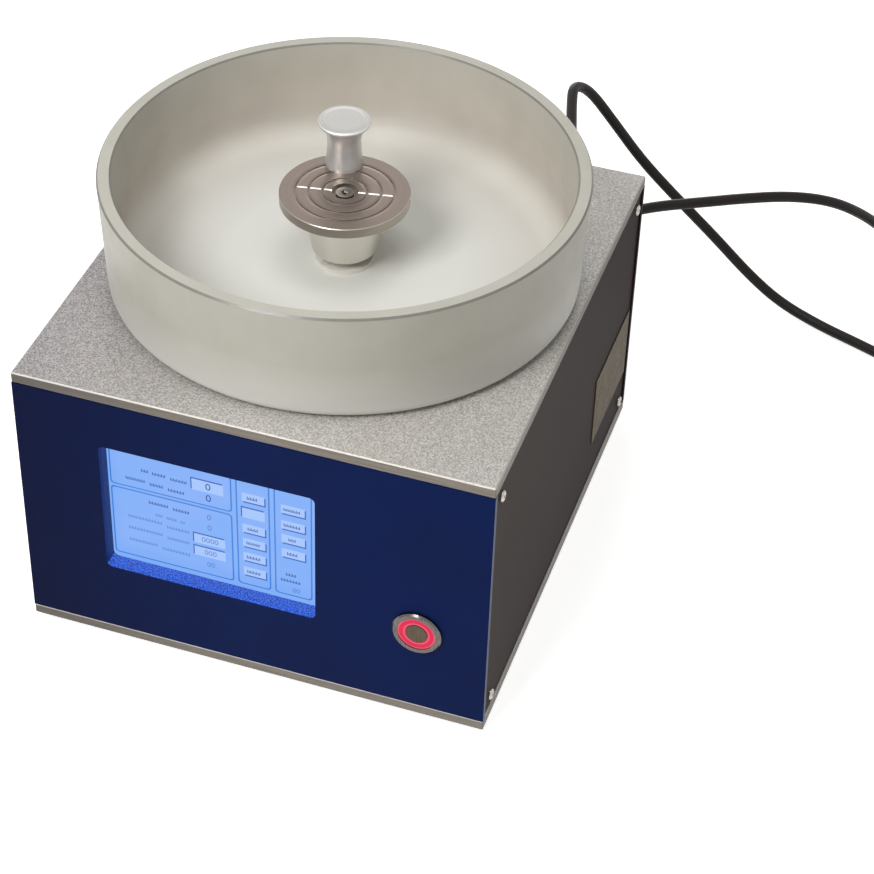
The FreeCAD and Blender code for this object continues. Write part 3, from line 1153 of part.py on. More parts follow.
def button_bezel():
    """Stainless bezel and threaded barrel."""
    bezel = rod(from_button_face(0), Y_AXIS, BEZEL_RADIUS, BEZEL_HEIGHT)
    front_edge = [edge for edge in bezel.Edges if edge.BoundBox.YMax < -HALF_DEPTH - BEZEL_HEIGHT + 0.01]
    bezel = bezel.makeChamfer(BEZEL_HEIGHT * 0.4, front_edge)
    barrel = rod(from_button_face(BEZEL_HEIGHT), Y_AXIS, BUTTON_BARREL_RADIUS, BUTTON_BARREL_LENGTH)
    bezel = bezel.fuse(barrel)
    bore = LIGHT_RING_RADIUS + SEAT_CLEARANCE
    return bezel.cut(rod(from_button_face(0), Y_AXIS, bore, BEZEL_HEIGHT + BUTTON_BARREL_LENGTH))


def button_light_ring():
    inner = CAP_RADIUS + MOVING_CLEARANCE
    return ring(from_button_face(LIGHT_RING_SETBACK), Y_AXIS, inner, LIGHT_RING_RADIUS, LIGHT_RING_DEPTH)


def button_cap():
    """Metal cap with a stem that reaches into the switch body."""
    cap = rod(from_button_face(CAP_SETBACK), Y_AXIS, CAP_RADIUS, CAP_LENGTH)
    stem_start = CAP_SETBACK + CAP_LENGTH
    return cap.fuse(rod(from_button_face(stem_start), Y_AXIS, CAP_STEM_RADIUS, CAP_STEM_LENGTH))


def switch_body_start():
    return CAP_SETBACK + CAP_LENGTH + BUTTON_TRAVEL + MOVING_CLEARANCE


def button_spring():
    """Return spring round the stem, from the cap's back to the floor of its pocket."""
    start = CAP_SETBACK + CAP_LENGTH + SPRING_WIRE_RADIUS
    length = switch_body_start() + SPRING_POCKET_DEPTH - SPRING_WIRE_RADIUS - start
    helix = Part.makeHelix(length / SPRING_TURNS, length, SPRING_COIL_RADIUS)
    profile = Part.Wire(Part.makeCircle(SPRING_WIRE_RADIUS, Vector(SPRING_COIL_RADIUS, 0, 0), Y_AXIS))
    spring = helix.makePipeShell([profile], True, True)
    turn = FreeCAD.Rotation(Z_AXIS, Y_AXIS)
    spring.Placement = FreeCAD.Placement(Vector(*from_button_face(start)), turn)
    return spring


def button_switch_body():
    """Switch insert pushed into the barrel, with four solder tags."""
    start = switch_body_start()
    length = SWITCH_BODY_LENGTH
    body = rod(from_button_face(start), Y_AXIS, LIGHT_RING_RADIUS, length)
    body = body.cut(rod(from_button_face(start), Y_AXIS, CAP_STEM_RADIUS + MOVING_CLEARANCE,
                        CAP_STEM_LENGTH + BUTTON_TRAVEL + MOVING_CLEARANCE))
    body = body.cut(rod(from_button_face(start), Y_AXIS, SPRING_POCKET_RADIUS, SPRING_POCKET_DEPTH))
    tag_y = from_button_face(start + length)[1]
    for shift_x, shift_z in ((-4, 0), (4, 0), (0, -4), (0, 4)):
        x = BUTTON_X + shift_x
        z = BUTTON_Z + shift_z
        body = body.fuse(block((x - 1.4, x + 1.4), (tag_y, tag_y + 6), (z - 0.4, z + 0.4)))
    return body


def button_nut():
    nut = hexagon((BUTTON_X, FRONT_INNER, BUTTON_Z), Y_AXIS, BUTTON_NUT_RADIUS, BUTTON_NUT_HEIGHT)
    bore = BUTTON_BARREL_RADIUS + SEAT_CLEARANCE
    return nut.cut(rod((BUTTON_X, FRONT_INNER, BUTTON_Z), Y_AXIS, bore, BUTTON_NUT_HEIGHT))


# ---------------------------------------------------------------- mains inlet
def inlet_body_block(clearance):
    half = INLET_FLANGE_WIDTH / 2 - INLET_BODY_MARGIN + clearance
    return block((INLET_X - half, INLET_X + half), (REAR_INNER - INLET_BODY_DEPTH, HALF_DEPTH),
                 (INLET_FLANGE_BOTTOM + INLET_BODY_MARGIN - clearance,
                  INLET_FLANGE_TOP - INLET_BODY_MARGIN + clearance))


def socket_shape(width, height, start_y, depth):
    """The connector's cross-section: a rectangle with its two upper corners cut off."""
    half_width = width / 2
    half_height = height / 2
    corner_z = half_height - SOCKET_CORNER
    corner_x = half_width - SOCKET_CORNER
    outline = ((-half_width, -half_height), (half_width, -half_height), (half_width, corner_z),
               (corner_x, half_height), (-corner_x, half_height), (-half_width, corner_z))
    points = [Vector(INLET_X + x, start_y, SOCKET_Z + z) for x, z in outline]
    return Part.Face(Part.makePolygon(points + points[:1])).extrude(Vector(0, depth, 0))


def pin_places():
    return ((-PIN_PITCH, -PIN_DROP), (0, PIN_DROP), (PIN_PITCH, -PIN_DROP))


def mains_inlet():
    """Inlet module: socket with three blades above, rocker well below."""
    outer_face = HALF_DEPTH + INLET_FLANGE_THICKNESS
    half = INLET_FLANGE_WIDTH / 2
    flange = block((INLET_X - half, INLET_X + half), (HALF_DEPTH, outer_face),
                   (INLET_FLANGE_BOTTOM, INLET_FLANGE_TOP))
    body = flange.fuse(inlet_body_block(0))
    socket_floor = outer_face - SOCKET_DEPTH
    body = body.cut(socket_shape(SOCKET_WIDTH, SOCKET_HEIGHT, socket_floor, SOCKET_DEPTH))
    half_x = ROCKER_WIDTH / 2 + MOVING_CLEARANCE
    half_z = ROCKER_HEIGHT / 2 + ROCKER_SWING_ROOM
    well = block((INLET_X - half_x, INLET_X + half_x), (outer_face - ROCKER_WELL, outer_face),
                 (ROCKER_Z - half_z, ROCKER_Z + half_z))
    body = body.cut(well)
    for x, z in pin_places():
        blade = block((INLET_X + x - PIN_THICKNESS / 2, INLET_X + x + PIN_THICKNESS / 2),
                      (socket_floor, socket_floor + PIN_LENGTH),
                      (SOCKET_Z + z - PIN_WIDTH / 2, SOCKET_Z + z + PIN_WIDTH / 2))
        body = body.fuse(blade)
    return body


def power_rocker():
    """Rocker with a shallow vee face, tilted to its on position."""
    face_y = HALF_DEPTH + INLET_FLANGE_THICKNESS
    edge_y = face_y + ROCKER_EDGE_RAISE
    back_y = face_y - ROCKER_DEPTH
    pivot = Vector(INLET_X, face_y - ROCKER_PIVOT_DEPTH, ROCKER_Z)
    half_x = ROCKER_WIDTH / 2
    half_z = ROCKER_HEIGHT / 2
    back_half_z = half_z * ROCKER_TAPER
    outline = ((back_y, -back_half_z), (edge_y, -half_z), (face_y, 0), (edge_y, half_z),
               (back_y, back_half_z))
    points = [Vector(INLET_X - half_x, y, ROCKER_Z + z) for y, z in outline]
    rocker = Part.Face(Part.makePolygon(points + points[:1])).extrude(Vector(ROCKER_WIDTH, 0, 0))
    rocker.rotate(pivot, X_AXIS, ROCKER_TILT)
    return rocker


def mains_connector():
    """Moulded connector in the inlet, with its tapered strain relief."""
    outer_face = HALF_DEPTH + INLET_FLANGE_THICKNESS
    nose_length = SOCKET_DEPTH - MOVING_CLEARANCE
    nose = socket_shape(SOCKET_WIDTH - 2 * PLUG_CLEARANCE, SOCKET_HEIGHT - 2 * PLUG_CLEARANCE,
                        outer_face - nose_length, nose_length)
    half_x = PIN_THICKNESS / 2 + PLUG_CLEARANCE
    half_z = PIN_WIDTH / 2 + PLUG_CLEARANCE
    socket_floor = outer_face - SOCKET_DEPTH
    slot_y = (socket_floor, socket_floor + PIN_LENGTH + PLUG_CLEARANCE)
    for shift_x, shift_z in pin_places():
        x = INLET_X + shift_x
        z = SOCKET_Z + shift_z
        nose = nose.cut(block((x - half_x, x + half_x), slot_y, (z - half_z, z + half_z)))
    half_width = CONNECTOR_WIDTH / 2
    half_height = CONNECTOR_HEIGHT / 2
    body = rounded_window((INLET_X - half_width, INLET_X + half_width),
                          (SOCKET_Z - half_height, SOCKET_Z + half_height),
                          (outer_face, outer_face + CONNECTOR_LENGTH), CONNECTOR_CORNER)
    relief_start = Vector(INLET_X, outer_face + CONNECTOR_LENGTH, SOCKET_Z)
    relief = Part.makeCone(RELIEF_RADIUS, LEAD_RADIUS + RELIEF_WALL, RELIEF_LENGTH, relief_start, Y_AXIS)
    return nose.fuse(body).fuse(relief)


# ---------------------------------------------------------------- fan
def fan_screw_places():
    half = FAN_SCREW_PITCH / 2
    return [(FAN_X + sign_x * half, FAN_Z + sign_z * half) for sign_x, sign_z in CORNERS]


def fan_frame():
    """Square fan frame with its motor plate and three arms on the inner side."""
    front = REAR_INNER - FAN_DEPTH
    half = FAN_SIZE / 2
    frame = rounded_window((FAN_X - half, FAN_X + half), (FAN_Z - half, FAN_Z + half),
                           (front, REAR_INNER), FAN_CORNER)
    frame = frame.cut(rod((FAN_X, front, FAN_Z), Y_AXIS, FAN_HOLE_RADIUS, FAN_DEPTH))
    plate = rod((FAN_X, front, FAN_Z), Y_AXIS, FAN_HUB_RADIUS, FAN_PLATE_THICKNESS)
    for step in range(FAN_ARMS):
        arm = block((FAN_HUB_RADIUS / 2, FAN_HOLE_RADIUS + FAN_PLATE_THICKNESS / 2),
                    (front, front + FAN_PLATE_THICKNESS), (-FAN_ARM_WIDTH / 2, FAN_ARM_WIDTH / 2))
        arm.rotate(Vector(0, 0, 0), Y_AXIS, 360 * step / FAN_ARMS + 30)
        arm.translate(Vector(FAN_X, 0, FAN_Z))
        plate = plate.fuse(arm)
    pin = rod((FAN_X, front, FAN_Z), Y_AXIS, FAN_PIN_RADIUS, FAN_PIN_LENGTH)
    frame = frame.fuse(plate).fuse(pin)
    for x, z in fan_screw_places():
        frame = frame.cut(rod((x, front, z), Y_AXIS, GUARD_EAR_BORE, FAN_DEPTH))
    return frame


def fan_screw(place):
    """A long screw through the guard's ear, the rear panel and the fan's corner."""
    x, z = place
    seat_y = HALF_DEPTH + GUARD_EAR_THICKNESS
    head = rod((x, seat_y, z), Y_AXIS, FAN_SCREW_HEAD_RADIUS, FAN_SCREW_HEAD_HEIGHT)
    head = head.makeChamfer(FAN_SCREW_HEAD_HEIGHT / 3, head.Edges[:1])
    socket_start = (x, seat_y + FAN_SCREW_HEAD_HEIGHT / 2, z)
    head = head.cut(hexagon(socket_start, Y_AXIS, M3_SOCKET_RADIUS, FAN_SCREW_HEAD_HEIGHT))
    return head.fuse(rod((x, seat_y, z), Y_AXIS * -1, M3_RADIUS, FAN_SCREW_LENGTH))


def fan_rotor():
    """Hub cup with pitched blades, running on the frame's pin."""
    back = REAR_INNER - FAN_HUB_SETBACK
    front = REAR_INNER - FAN_DEPTH + FAN_PLATE_THICKNESS + MOVING_CLEARANCE
    depth = back - front
    pin_room = FAN_PIN_LENGTH - FAN_PLATE_THICKNESS
    hub = rod((0, front, 0), Y_AXIS, FAN_HUB_RADIUS, depth)
    hub = hub.cut(rod((0, front, 0), Y_AXIS, FAN_PIN_RADIUS + SEAT_CLEARANCE, pin_room))
    middle = (front + back) / 2
    half_chord = FAN_CHORD_SHARE * depth / 2
    half_thickness = FAN_BLADE_THICKNESS / 2
    for step in range(FAN_BLADES):
        blade = block((FAN_HUB_RADIUS * 0.9, FAN_BLADE_RADIUS), (middle - half_chord, middle + half_chord),
                      (-half_thickness, half_thickness))
        blade.rotate(Vector(0, middle, 0), X_AXIS, FAN_BLADE_PITCH)
        blade.rotate(Vector(0, 0, 0), Y_AXIS, 360 * step / FAN_BLADES)
        hub = hub.fuse(blade)
    hub = hub.common(rod((0, front, 0), Y_AXIS, FAN_BLADE_RADIUS, depth))
    hub.translate(Vector(FAN_X, 0, FAN_Z))
    return hub


def fan_guard():
    """Wire finger guard on the rear panel: rings, two bars and four ears."""
    bar_y = HALF_DEPTH + GUARD_BAR_GAP + GUARD_WIRE_RADIUS
    ring_y = bar_y + GUARD_RING_RAISE
    reach = FAN_SCREW_PITCH / math.sqrt(2) - FAN_SCREW_HEAD_RADIUS - HOLE_CLEARANCE
    middle = Vector(FAN_X, bar_y, FAN_Z)
    guard = None
    for angle in (45, -45):
        along = Vector(math.cos(math.radians(angle)), 0, math.sin(math.radians(angle)))
        bar = rod(middle - along * reach, along, GUARD_WIRE_RADIUS, 2 * reach)
        guard = bar if guard is None else guard.fuse(bar)
    for radius in GUARD_RINGS:
        guard = guard.fuse(Part.makeTorus(radius, GUARD_WIRE_RADIUS, Vector(FAN_X, ring_y, FAN_Z), Y_AXIS))
    for x, z in fan_screw_places():
        ear = ring((x, HALF_DEPTH, z), Y_AXIS, GUARD_EAR_BORE, GUARD_EAR_RADIUS, GUARD_EAR_THICKNESS)
        guard = guard.fuse(ear)
    return guard


# ---------------------------------------------------------------- loose cords
def coil_tangent_length(half_width):
    """From the tangent point on the outer lane to where a piece of this half width meets the coil."""
    return math.sqrt(COIL_REACH ** 2 - (COIL_OUTER_LANE - half_width) ** 2) - COIL_SINK


def coil_centre(route):
    """The cord runs on straight from its route and turns left into the coil's outer lane."""
    heading = Vector(*route[-1]) - Vector(*route[-2])
    heading.z = 0
    heading.normalize()
    turn_in = Vector(*route[-1]) + heading * coil_tangent_length(0)
    centre = turn_in + Z_AXIS.cross(heading) * COIL_OUTER_LANE
    return Vector(centre.x, centre.y, 0)


def coil(route):
    """Outer shape of a coiled cord: a fat ring lying on the bench."""
    inner = COIL_MEAN_RADIUS * 2 - COIL_REACH
    solid = ring(coil_centre(route), Z_AXIS, inner, COIL_REACH, COIL_HEIGHT)
    return solid.makeFillet(COIL_ROUNDING, [edge for edge in solid.Edges if len(edge.Vertexes) == 1])


def leave_coil(piece, route, exit_angle, half_width):
    """Move a piece modelled along +X from the origin to where the cord leaves its coil."""
    angle = math.radians(exit_angle)
    outward = Vector(math.cos(angle), math.sin(angle), 0)
    along = Z_AXIS.cross(outward) * coil_tangent_length(half_width)
    piece.rotate(Vector(0, 0, 0), Z_AXIS, exit_angle + 90)
    piece.translate(coil_centre(route) + outward * COIL_OUTER_LANE + along)
    return piece


def mains_plug():
    """Moulded plug lying on the bench beside the lead's coil: two blades and an earth pin."""
    axis_z = PLUG_HEIGHT / 2
    body_end = PLUG_NECK_LENGTH + PLUG_LENGTH
    neck_start = Vector(0, 0, axis_z)
    neck = Part.makeCone(PLUG_NECK_RADIUS, PLUG_NECK_END_RADIUS, PLUG_NECK_LENGTH, neck_start, X_AXIS)
    body = block((PLUG_NECK_LENGTH, body_end), (-PLUG_WIDTH / 2, PLUG_WIDTH / 2), (0, PLUG_HEIGHT))
    long_edges = [edge for edge in body.Edges if abs(edge.tangentAt(edge.FirstParameter).x) > 0.9]
    plug = neck.fuse(body.makeFillet(PLUG_CORNER, long_edges))
    for side in (-1, 1):
        middle = side * BLADE_SPACING / 2
        level = axis_z + BLADE_OFFSET
        plug = plug.fuse(block((body_end, body_end + BLADE_LENGTH),
                               (middle - BLADE_THICKNESS / 2, middle + BLADE_THICKNESS / 2),
                               (level - BLADE_WIDTH / 2, level + BLADE_WIDTH / 2)))
    earth = (body_end, 0, axis_z - EARTH_PIN_OFFSET)
    plug = plug.fuse(rod(earth, X_AXIS, EARTH_PIN_RADIUS, EARTH_PIN_LENGTH))
    return leave_coil(plug, LEAD_ROUTE, LEAD_COIL_EXIT, LEAD_RADIUS)


def hose_end_fitting():
    """Coupling on the hose's far end: sleeve, hexagon and barbed nozzle, level with the upper turns."""
    axis_z = COIL_HEIGHT - COIL_PITCH / 2
    fitting = rod((0, 0, axis_z), X_AXIS, END_SLEEVE_RADIUS, END_SLEEVE_LENGTH)
    nut = hexagon((0, 0, 0), X_AXIS, axis_z / math.cos(math.radians(30)), END_HEX_LENGTH)
    nut.rotate(Vector(0, 0, 0), X_AXIS, 30)
    nut.translate(Vector(END_SLEEVE_LENGTH, 0, axis_z))
    fitting = fitting.fuse(nut)
    for step in range(END_BARBS):
        start = Vector(END_SLEEVE_LENGTH + END_HEX_LENGTH + step * END_BARB_LENGTH, 0, axis_z)
        fitting = fitting.fuse(Part.makeCone(END_BARB_RADIUS, END_BARB_TIP, END_BARB_LENGTH, start, X_AXIS))
    length = END_SLEEVE_LENGTH + END_HEX_LENGTH + END_BARBS * END_BARB_LENGTH
    fitting = fitting.cut(rod((0, 0, axis_z), X_AXIS, SUCTION_RADIUS, length))
    return leave_coil(fitting, HOSE_ROUTE, HOSE_COIL_EXIT, END_SLEEVE_RADIUS)


def main():
    os.makedirs("parts", exist_ok=True)
    pieces = {
        "top_plate": top_plate(), "bottom_plate": bottom_plate(), "front_panel": front_panel(),
        "rear_panel": rear_panel(), "side_panel_left": side_panel(-1), "side_panel_right": side_panel(1),
        "corner_posts": corner_posts(), "tie_screws": tie_screws(), "panel_fasteners": panel_fasteners(),
        "rubber_feet": rubber_feet(),
        "side_label": side_label(), "bowl": bowl(), "bowl_gasket": bowl_gasket(),
        "bowl_collar": bowl_collar(), "collar_screws": collar_screws(), "chuck": chuck(),
        "chuck_screw": chuck_screw(), "chuck_o_ring": chuck_o_ring(), "small_chuck": small_chuck(),
        "motor_spindle": motor_spindle(), "motor_housing": motor_housing(),
        "motor_end_bell": motor_end_bell(), "motor_stator": motor_stator(), "motor_rotor": motor_rotor(),
        "bearing_inner_rings": bearing_rings(SPINDLE_RADIUS + SEAT_CLEARANCE, BEARING_INNER_RING_RADIUS),
        "bearing_outer_rings": bearing_rings(BEARING_INNER_RING_RADIUS + BEARING_GAP, BEARING_RADIUS),
        "motor_standoffs": motor_standoffs(), "motor_screws": motor_screws(),
        "rotary_union": rotary_union(), "vacuum_tubes": vacuum_tubes(), "vacuum_valve": vacuum_valve(),
        "hose_bulkhead": hose_bulkhead(), "power_supply": power_supply(),
        "control_board": control_board(), "driver_board": driver_board(),
        "board_standoffs": board_standoffs(), "wiring": wiring(), "display_frame": display_frame(),
        "touch_glass": touch_glass(), "lcd_panel": lcd_panel(), "display_board": display_board(),
        "display_brackets": display_brackets(), "button_bezel": button_bezel(),
        "button_light_ring": button_light_ring(), "button_cap": button_cap(),
        "button_switch_body": button_switch_body(), "button_spring": button_spring(),
        "button_nut": button_nut(),
        "mains_inlet": mains_inlet(), "power_rocker": power_rocker(), "mains_connector": mains_connector(),
        "fan_frame": fan_frame(), "fan_rotor": fan_rotor(), "fan_guard": fan_guard(),
        "mains_lead": tube_along(LEAD_ROUTE, LEAD_RADIUS, "mains lead"), "mains_coil": coil(LEAD_ROUTE),
        "mains_plug": mains_plug(), "vacuum_hose": tube_along(HOSE_ROUTE, HOSE_RADIUS, "vacuum hose"),
        "hose_coil": coil(HOSE_ROUTE), "hose_end_fitting": hose_end_fitting(),
    }
    for name, shape in pieces.items():
        solids = len(shape.Solids)
        if not shape.isValid() or solids == 0:
            print("check", name, "valid", shape.isValid(), "solids", solids)
        save(name, shape)
    print(len(pieces), "pieces")


main()
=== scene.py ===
"""Spin coater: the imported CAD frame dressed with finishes, screen picture, turned pieces and cords."""
import math

import bpy
from mathutils import Matrix, Vector


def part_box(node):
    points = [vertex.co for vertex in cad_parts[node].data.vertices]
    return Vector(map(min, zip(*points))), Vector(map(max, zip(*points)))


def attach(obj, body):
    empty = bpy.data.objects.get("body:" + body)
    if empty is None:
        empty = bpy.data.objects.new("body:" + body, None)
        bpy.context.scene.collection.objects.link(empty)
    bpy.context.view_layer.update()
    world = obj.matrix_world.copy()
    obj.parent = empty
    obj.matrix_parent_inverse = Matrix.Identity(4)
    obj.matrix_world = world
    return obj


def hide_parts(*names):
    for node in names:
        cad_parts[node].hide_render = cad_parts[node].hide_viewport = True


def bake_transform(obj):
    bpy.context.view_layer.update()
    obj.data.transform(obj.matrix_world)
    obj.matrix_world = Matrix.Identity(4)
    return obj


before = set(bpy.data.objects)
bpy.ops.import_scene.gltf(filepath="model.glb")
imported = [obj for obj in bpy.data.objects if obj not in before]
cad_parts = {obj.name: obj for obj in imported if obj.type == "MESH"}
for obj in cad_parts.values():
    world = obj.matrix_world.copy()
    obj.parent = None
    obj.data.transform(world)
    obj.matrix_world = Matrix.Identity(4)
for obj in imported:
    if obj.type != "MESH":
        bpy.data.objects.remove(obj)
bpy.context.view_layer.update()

bl_info = {
    "name": "Spin Coater",
    "version": (1, 0, 0),
    "blender": (4, 5, 0),
    "location": "View3D > Sidebar > Spin Coater",
    "description": "Finishes, turned pieces, screen picture and cords of a bench spin coater",
    "category": "Object",
}

MM = 0.001
UP = Vector((0, 0, 1))
FULL_TURN = 360  # degrees
MERGE_DISTANCE = 0.000001  # metres, far below any real edge
SMOOTH_ANGLE = 32  # degrees; edges that turn more stay sharp
# Sizes of the CAD part, in millimetres.
BOWL_BASE_RADIUS = 117.0  # outside, at the foot
BOWL_FOOT_ROUND = 5.0
BOWL_INNER_ROUND = 14.0  # from the wall into the floor
BOWL_HOLE_RADIUS = 9.15  # for the spindle
BOWL_OUTER_CHAMFER = (0.9, 1.0)  # of the ground rim, across and down
BOWL_INNER_CHAMFER = 0.8
BOWL_RIM_SWELL = (0.1, 1.4)  # the rim stands out this much, from this far down
BOWL_STEPS = 192  # flats round the bowl
CHUCK_RINGS = (10.9, 17.8, 24.2)  # radii of the large chuck's ring grooves
CHUCK_EDGE = (30.5, 31.2)  # radii between which its side turns to the edge's darker painted reflection tone
CROSS_DEPTH = (1.4, 1.2, 0.5, 0.3)  # between which its cross groove carries the painted highlight: none, all, all, none
CROSS_HALF_WIDTH = 0.5  # of its painted highlight
CROSS_TURN = 10.5  # degrees that the cross groove is turned from the X axis
SMALL_CHUCK_RING = 11.4  # radius of the line round the small chuck's top
RING_LINES = (6.3, 9.2)  # radii of the lighter lines in the button's light ring
# The window: its middle, and how far its sides and corners are from there, with 0.4 mm to spare.
WINDOW_MIDDLE = Vector((-22.0, 0, 90.0)) * MM
WINDOW_REACH = Vector((55.4, 0, 39.4)) * MM


def mm(*values):
    """Millimetres to a vector in metres."""
    return Vector([value * MM for value in values])


# ---- sizes and colours a user would change
def length(name, description, value):
    """A length property, in metres."""
    return bpy.props.FloatProperty(name=name, description=description, default=value, unit="LENGTH")


class SpinCoaterSizes(bpy.types.PropertyGroup):
    """Sizes of the pieces that are made here."""
    cord_diameter: length("Cord diameter", "Outer diameter of the mains lead and of the vacuum hose", 0.006)
    cord_length: length("Cord length", "Whole length of the lead and of the hose, coil included", 1.5)
    coil_radius: length("Coil radius", "Middle turn of a put-away coil", 0.0354)
    coil_pitch: length("Coil pitch", "From one turn of a coil to the next", 0.00615)
    bowl_wall: length("Bowl wall", "Thickness of the glass bowl's wall", 0.007)
    bowl_floor: length("Bowl floor", "Thickness of the glass bowl's floor", 0.006)
    picture_depth: length("Picture depth", "Thickness of the lit layers on the screen", 0.00004)
    lens: bpy.props.FloatProperty(
        name="Lens", description="Focal length of the camera on a 36 mm sensor", default=103.02,
        subtype="DISTANCE_CAMERA")


def colour(name, description, value):
    """A colour property, given and kept as sRGB hex text."""
    return bpy.props.StringProperty(name=name, description=description + ", as sRGB hex", default=value)


class SpinCoaterColours(bpy.types.PropertyGroup):
    """Colours of the finishes."""
    plate: colour("Plate", "Sandblasted aluminium of the top and bottom plates", "#DBD8D4")
    plate_dark: colour("Plate grain", "Dark grains of the sandblasted plates", "#A09D99")
    plate_edge: colour("Plate edge", "Milled edges of the plates", "#6C655C")
    navy: colour("Navy", "Powder coat of the front panel", "#081D50")
    navy_edge: colour("Navy edge", "Front panel's sawn edge", "#69718A")
    side: colour("Side", "Satin coat of the side and rear panels", "#4C4440")
    glass: colour("Glass", "Frosted glass of the bowl's wall", "#CCC9BD")
    # Painted light: the lighter tone of the bowl's floor and outer foot.
    glass_lit_white: colour("Glass floor", "Frosted glass of the bowl's floor", "#F1F1EB")
    glass_edge: colour("Glass edge", "Ground edges of the bowl's rim", "#8F8C86")
    # Painted reflection: the large chuck's rim and hub take this lighter tone and its face the next, darker
    # one.
    chuck_side_reflection: colour("Chuck side", "Turned aluminium of the large chuck's rim and hub", "#D9D6CE")
    chuck: colour("Chuck", "Turned aluminium of the large chuck's face", "#80746C")
    small_chuck: colour("Small chuck", "Bright turned aluminium of the small chuck", "#B4B2AE")
    ring_light: colour("Ring light", "Lit ring round the push button", "#FF1450")
    cap: colour("Cap", "Brushed stainless cap of the push button", "#5F5243")
    screen: colour("Screen", "Lit screen", "#83B4FF")
    screen_line: colour("Screen line", "Lines between the screen's panes", "#3F86E4")
    screen_sill: colour("Screen sill", "Window's sill in the screen's light", "#3F66D8")
    cord: colour("Cord", "Rubber of the lead and of the hose", "#191412")
    label: colour("Label", "Blank rating label", "#6E5F45")


def sizes():
    """The scene's sizes."""
    return bpy.context.scene.spin_coater_sizes


def colours():
    """The scene's colours."""
    return bpy.context.scene.spin_coater_colours


# ---- materials
def linear(hex_text):
    """sRGB hex text to linear red, green, blue and alpha."""
    values = []
    for start in (1, 3, 5):
        value = int(hex_text[start:start + 2], 16) / 255
        values.append(value / 12.92 if value <= 0.04045 else ((value + 0.055) / 1.055) ** 2.4)
    return (*values, 1.0)


def add_node(tree, kind, settings=(), sockets=(), links=()):
    """One node with its settings, its constant sockets and the outputs linked into it."""
    node = tree.nodes.new(kind)
    for key, value in dict(settings).items():
        setattr(node, key, value)
    for key, value in dict(sockets).items():
        node.inputs[key].default_value = value
    for key, output in dict(links).items():
        tree.links.new(output, node.inputs[key])
    return node


def per_mm(size):
    """Texture scale in Object coordinates, which are metres, for features of this size in mm."""
    return 1 / (size * MM)


def feed(shader, **inputs):
    """Give the shader's sockets, written with _ for a space, an output, a number or sRGB hex text."""
    for name, value in inputs.items():
        socket = shader.inputs[name.replace("_", " ")]
        if isinstance(value, bpy.types.NodeSocket):
            shader.id_data.links.new(value, socket)
        else:
            socket.default_value = linear(value) if isinstance(value, str) else value


def new_finish(name, **inputs):
    """A material with one Principled shader, and the Object coordinates its patterns read."""
    material = bpy.data.materials.new(name)
    material.use_nodes = True
    tree = material.node_tree
    tree.nodes.clear()
    shader = add_node(tree, "ShaderNodeBsdfPrincipled")
    feed(shader, **inputs)
    add_node(tree, "ShaderNodeOutputMaterial", links={"Surface": shader.outputs["BSDF"]})
    place = add_node(tree, "ShaderNodeTexCoord").outputs["Object"]
    return material, tree, shader, place


def grain(tree, place, size, detail=2.0, stretch=None):
    """Noise of this grain size in mm; stretch lengthens it along an axis."""
    if stretch:
        place = add_node(tree, "ShaderNodeMapping", sockets={"Scale": stretch},
                         links={"Vector": place}).outputs["Vector"]
    return add_node(tree, "ShaderNodeTexNoise", sockets={"Scale": per_mm(size), "Detail": detail},
                    links={"Vector": place}).outputs["Fac"]


def spread(tree, value, low, high, out_low=0.0, out_high=1.0):
    """Map a value from low..high to out_low..out_high, clamped."""
    return add_node(tree, "ShaderNodeMapRange",
                    sockets={"From Min": low, "From Max": high, "To Min": out_low, "To Max": out_high},
                    links={"Value": value}).outputs["Result"]


def drift(tree, place, size, *out):
    """Noise of this size in mm, with most of its range spread over 0..1 or the range that out gives."""
    return spread(tree, grain(tree, place, size), 0.3, 0.7, *out)


def blend_colours(tree, factor, first, second):
    """Mix two colours, each sRGB hex text or an output."""
    mix = add_node(tree, "ShaderNodeMix", settings={"data_type": "RGBA"}, links={0: factor})
    for index, value in ((6, first), (7, second)):
        if isinstance(value, str):
            mix.inputs[index].default_value = linear(value)
        else:
            tree.links.new(value, mix.inputs[index])
    return mix.outputs[2]


def patches(tree, place, size, first, second):
    """Two tones in soft patches of this size in mm."""
    return blend_colours(tree, drift(tree, place, size), first, second)


def calculate(tree, operation, *values):
    """One Math node on numbers and outputs."""
    node = add_node(tree, "ShaderNodeMath", settings={"operation": operation})
    for index, value in enumerate(values):
        if isinstance(value, (int, float)):
            node.inputs[index].default_value = value
        else:
            tree.links.new(value, node.inputs[index])
    return node.outputs[0]


def raise_surface(tree, shader, height, depth_mm, strength=1.0):
    """Bump of this depth in mm on the shader's normal."""
    bump = add_node(tree, "ShaderNodeBump", sockets={"Strength": strength, "Distance": depth_mm * MM},
                    links={"Height": height})
    tree.links.new(bump.outputs["Normal"], shader.inputs["Normal"])


def multiply(tree, first, *others):
    """The product of all the values."""
    for other in others:
        first = calculate(tree, "MULTIPLY", first, other)
    return first


def axes(tree, vector):
    """A vector's X, Y and Z."""
    return add_node(tree, "ShaderNodeSeparateXYZ", links={"Vector": vector}).outputs


def surface_normal(tree):
    """The piece's own face direction."""
    return axes(tree, add_node(tree, "ShaderNodeNewGeometry").outputs["True Normal"])


def facing(tree, axis, low, high, *out):
    """From 0 to 1, or as out gives, while a face turns to look either way along this axis."""
    return spread(tree, calculate(tree, "ABSOLUTE", surface_normal(tree)[axis]), low, high, *out)


def around(tree, place, first="X", second="Y", centre=(0, 0, 0)):
    """How far a point is from a centre across two axes, in metres."""
    shift = add_node(tree, "ShaderNodeMapping", sockets={"Location": [-value for value in centre]},
                     links={"Vector": place})
    spot = axes(tree, shift.outputs["Vector"])
    squares = [calculate(tree, "MULTIPLY", spot[axis], spot[axis]) for axis in (first, second)]
    return calculate(tree, "SQRT", calculate(tree, "ADD", *squares))


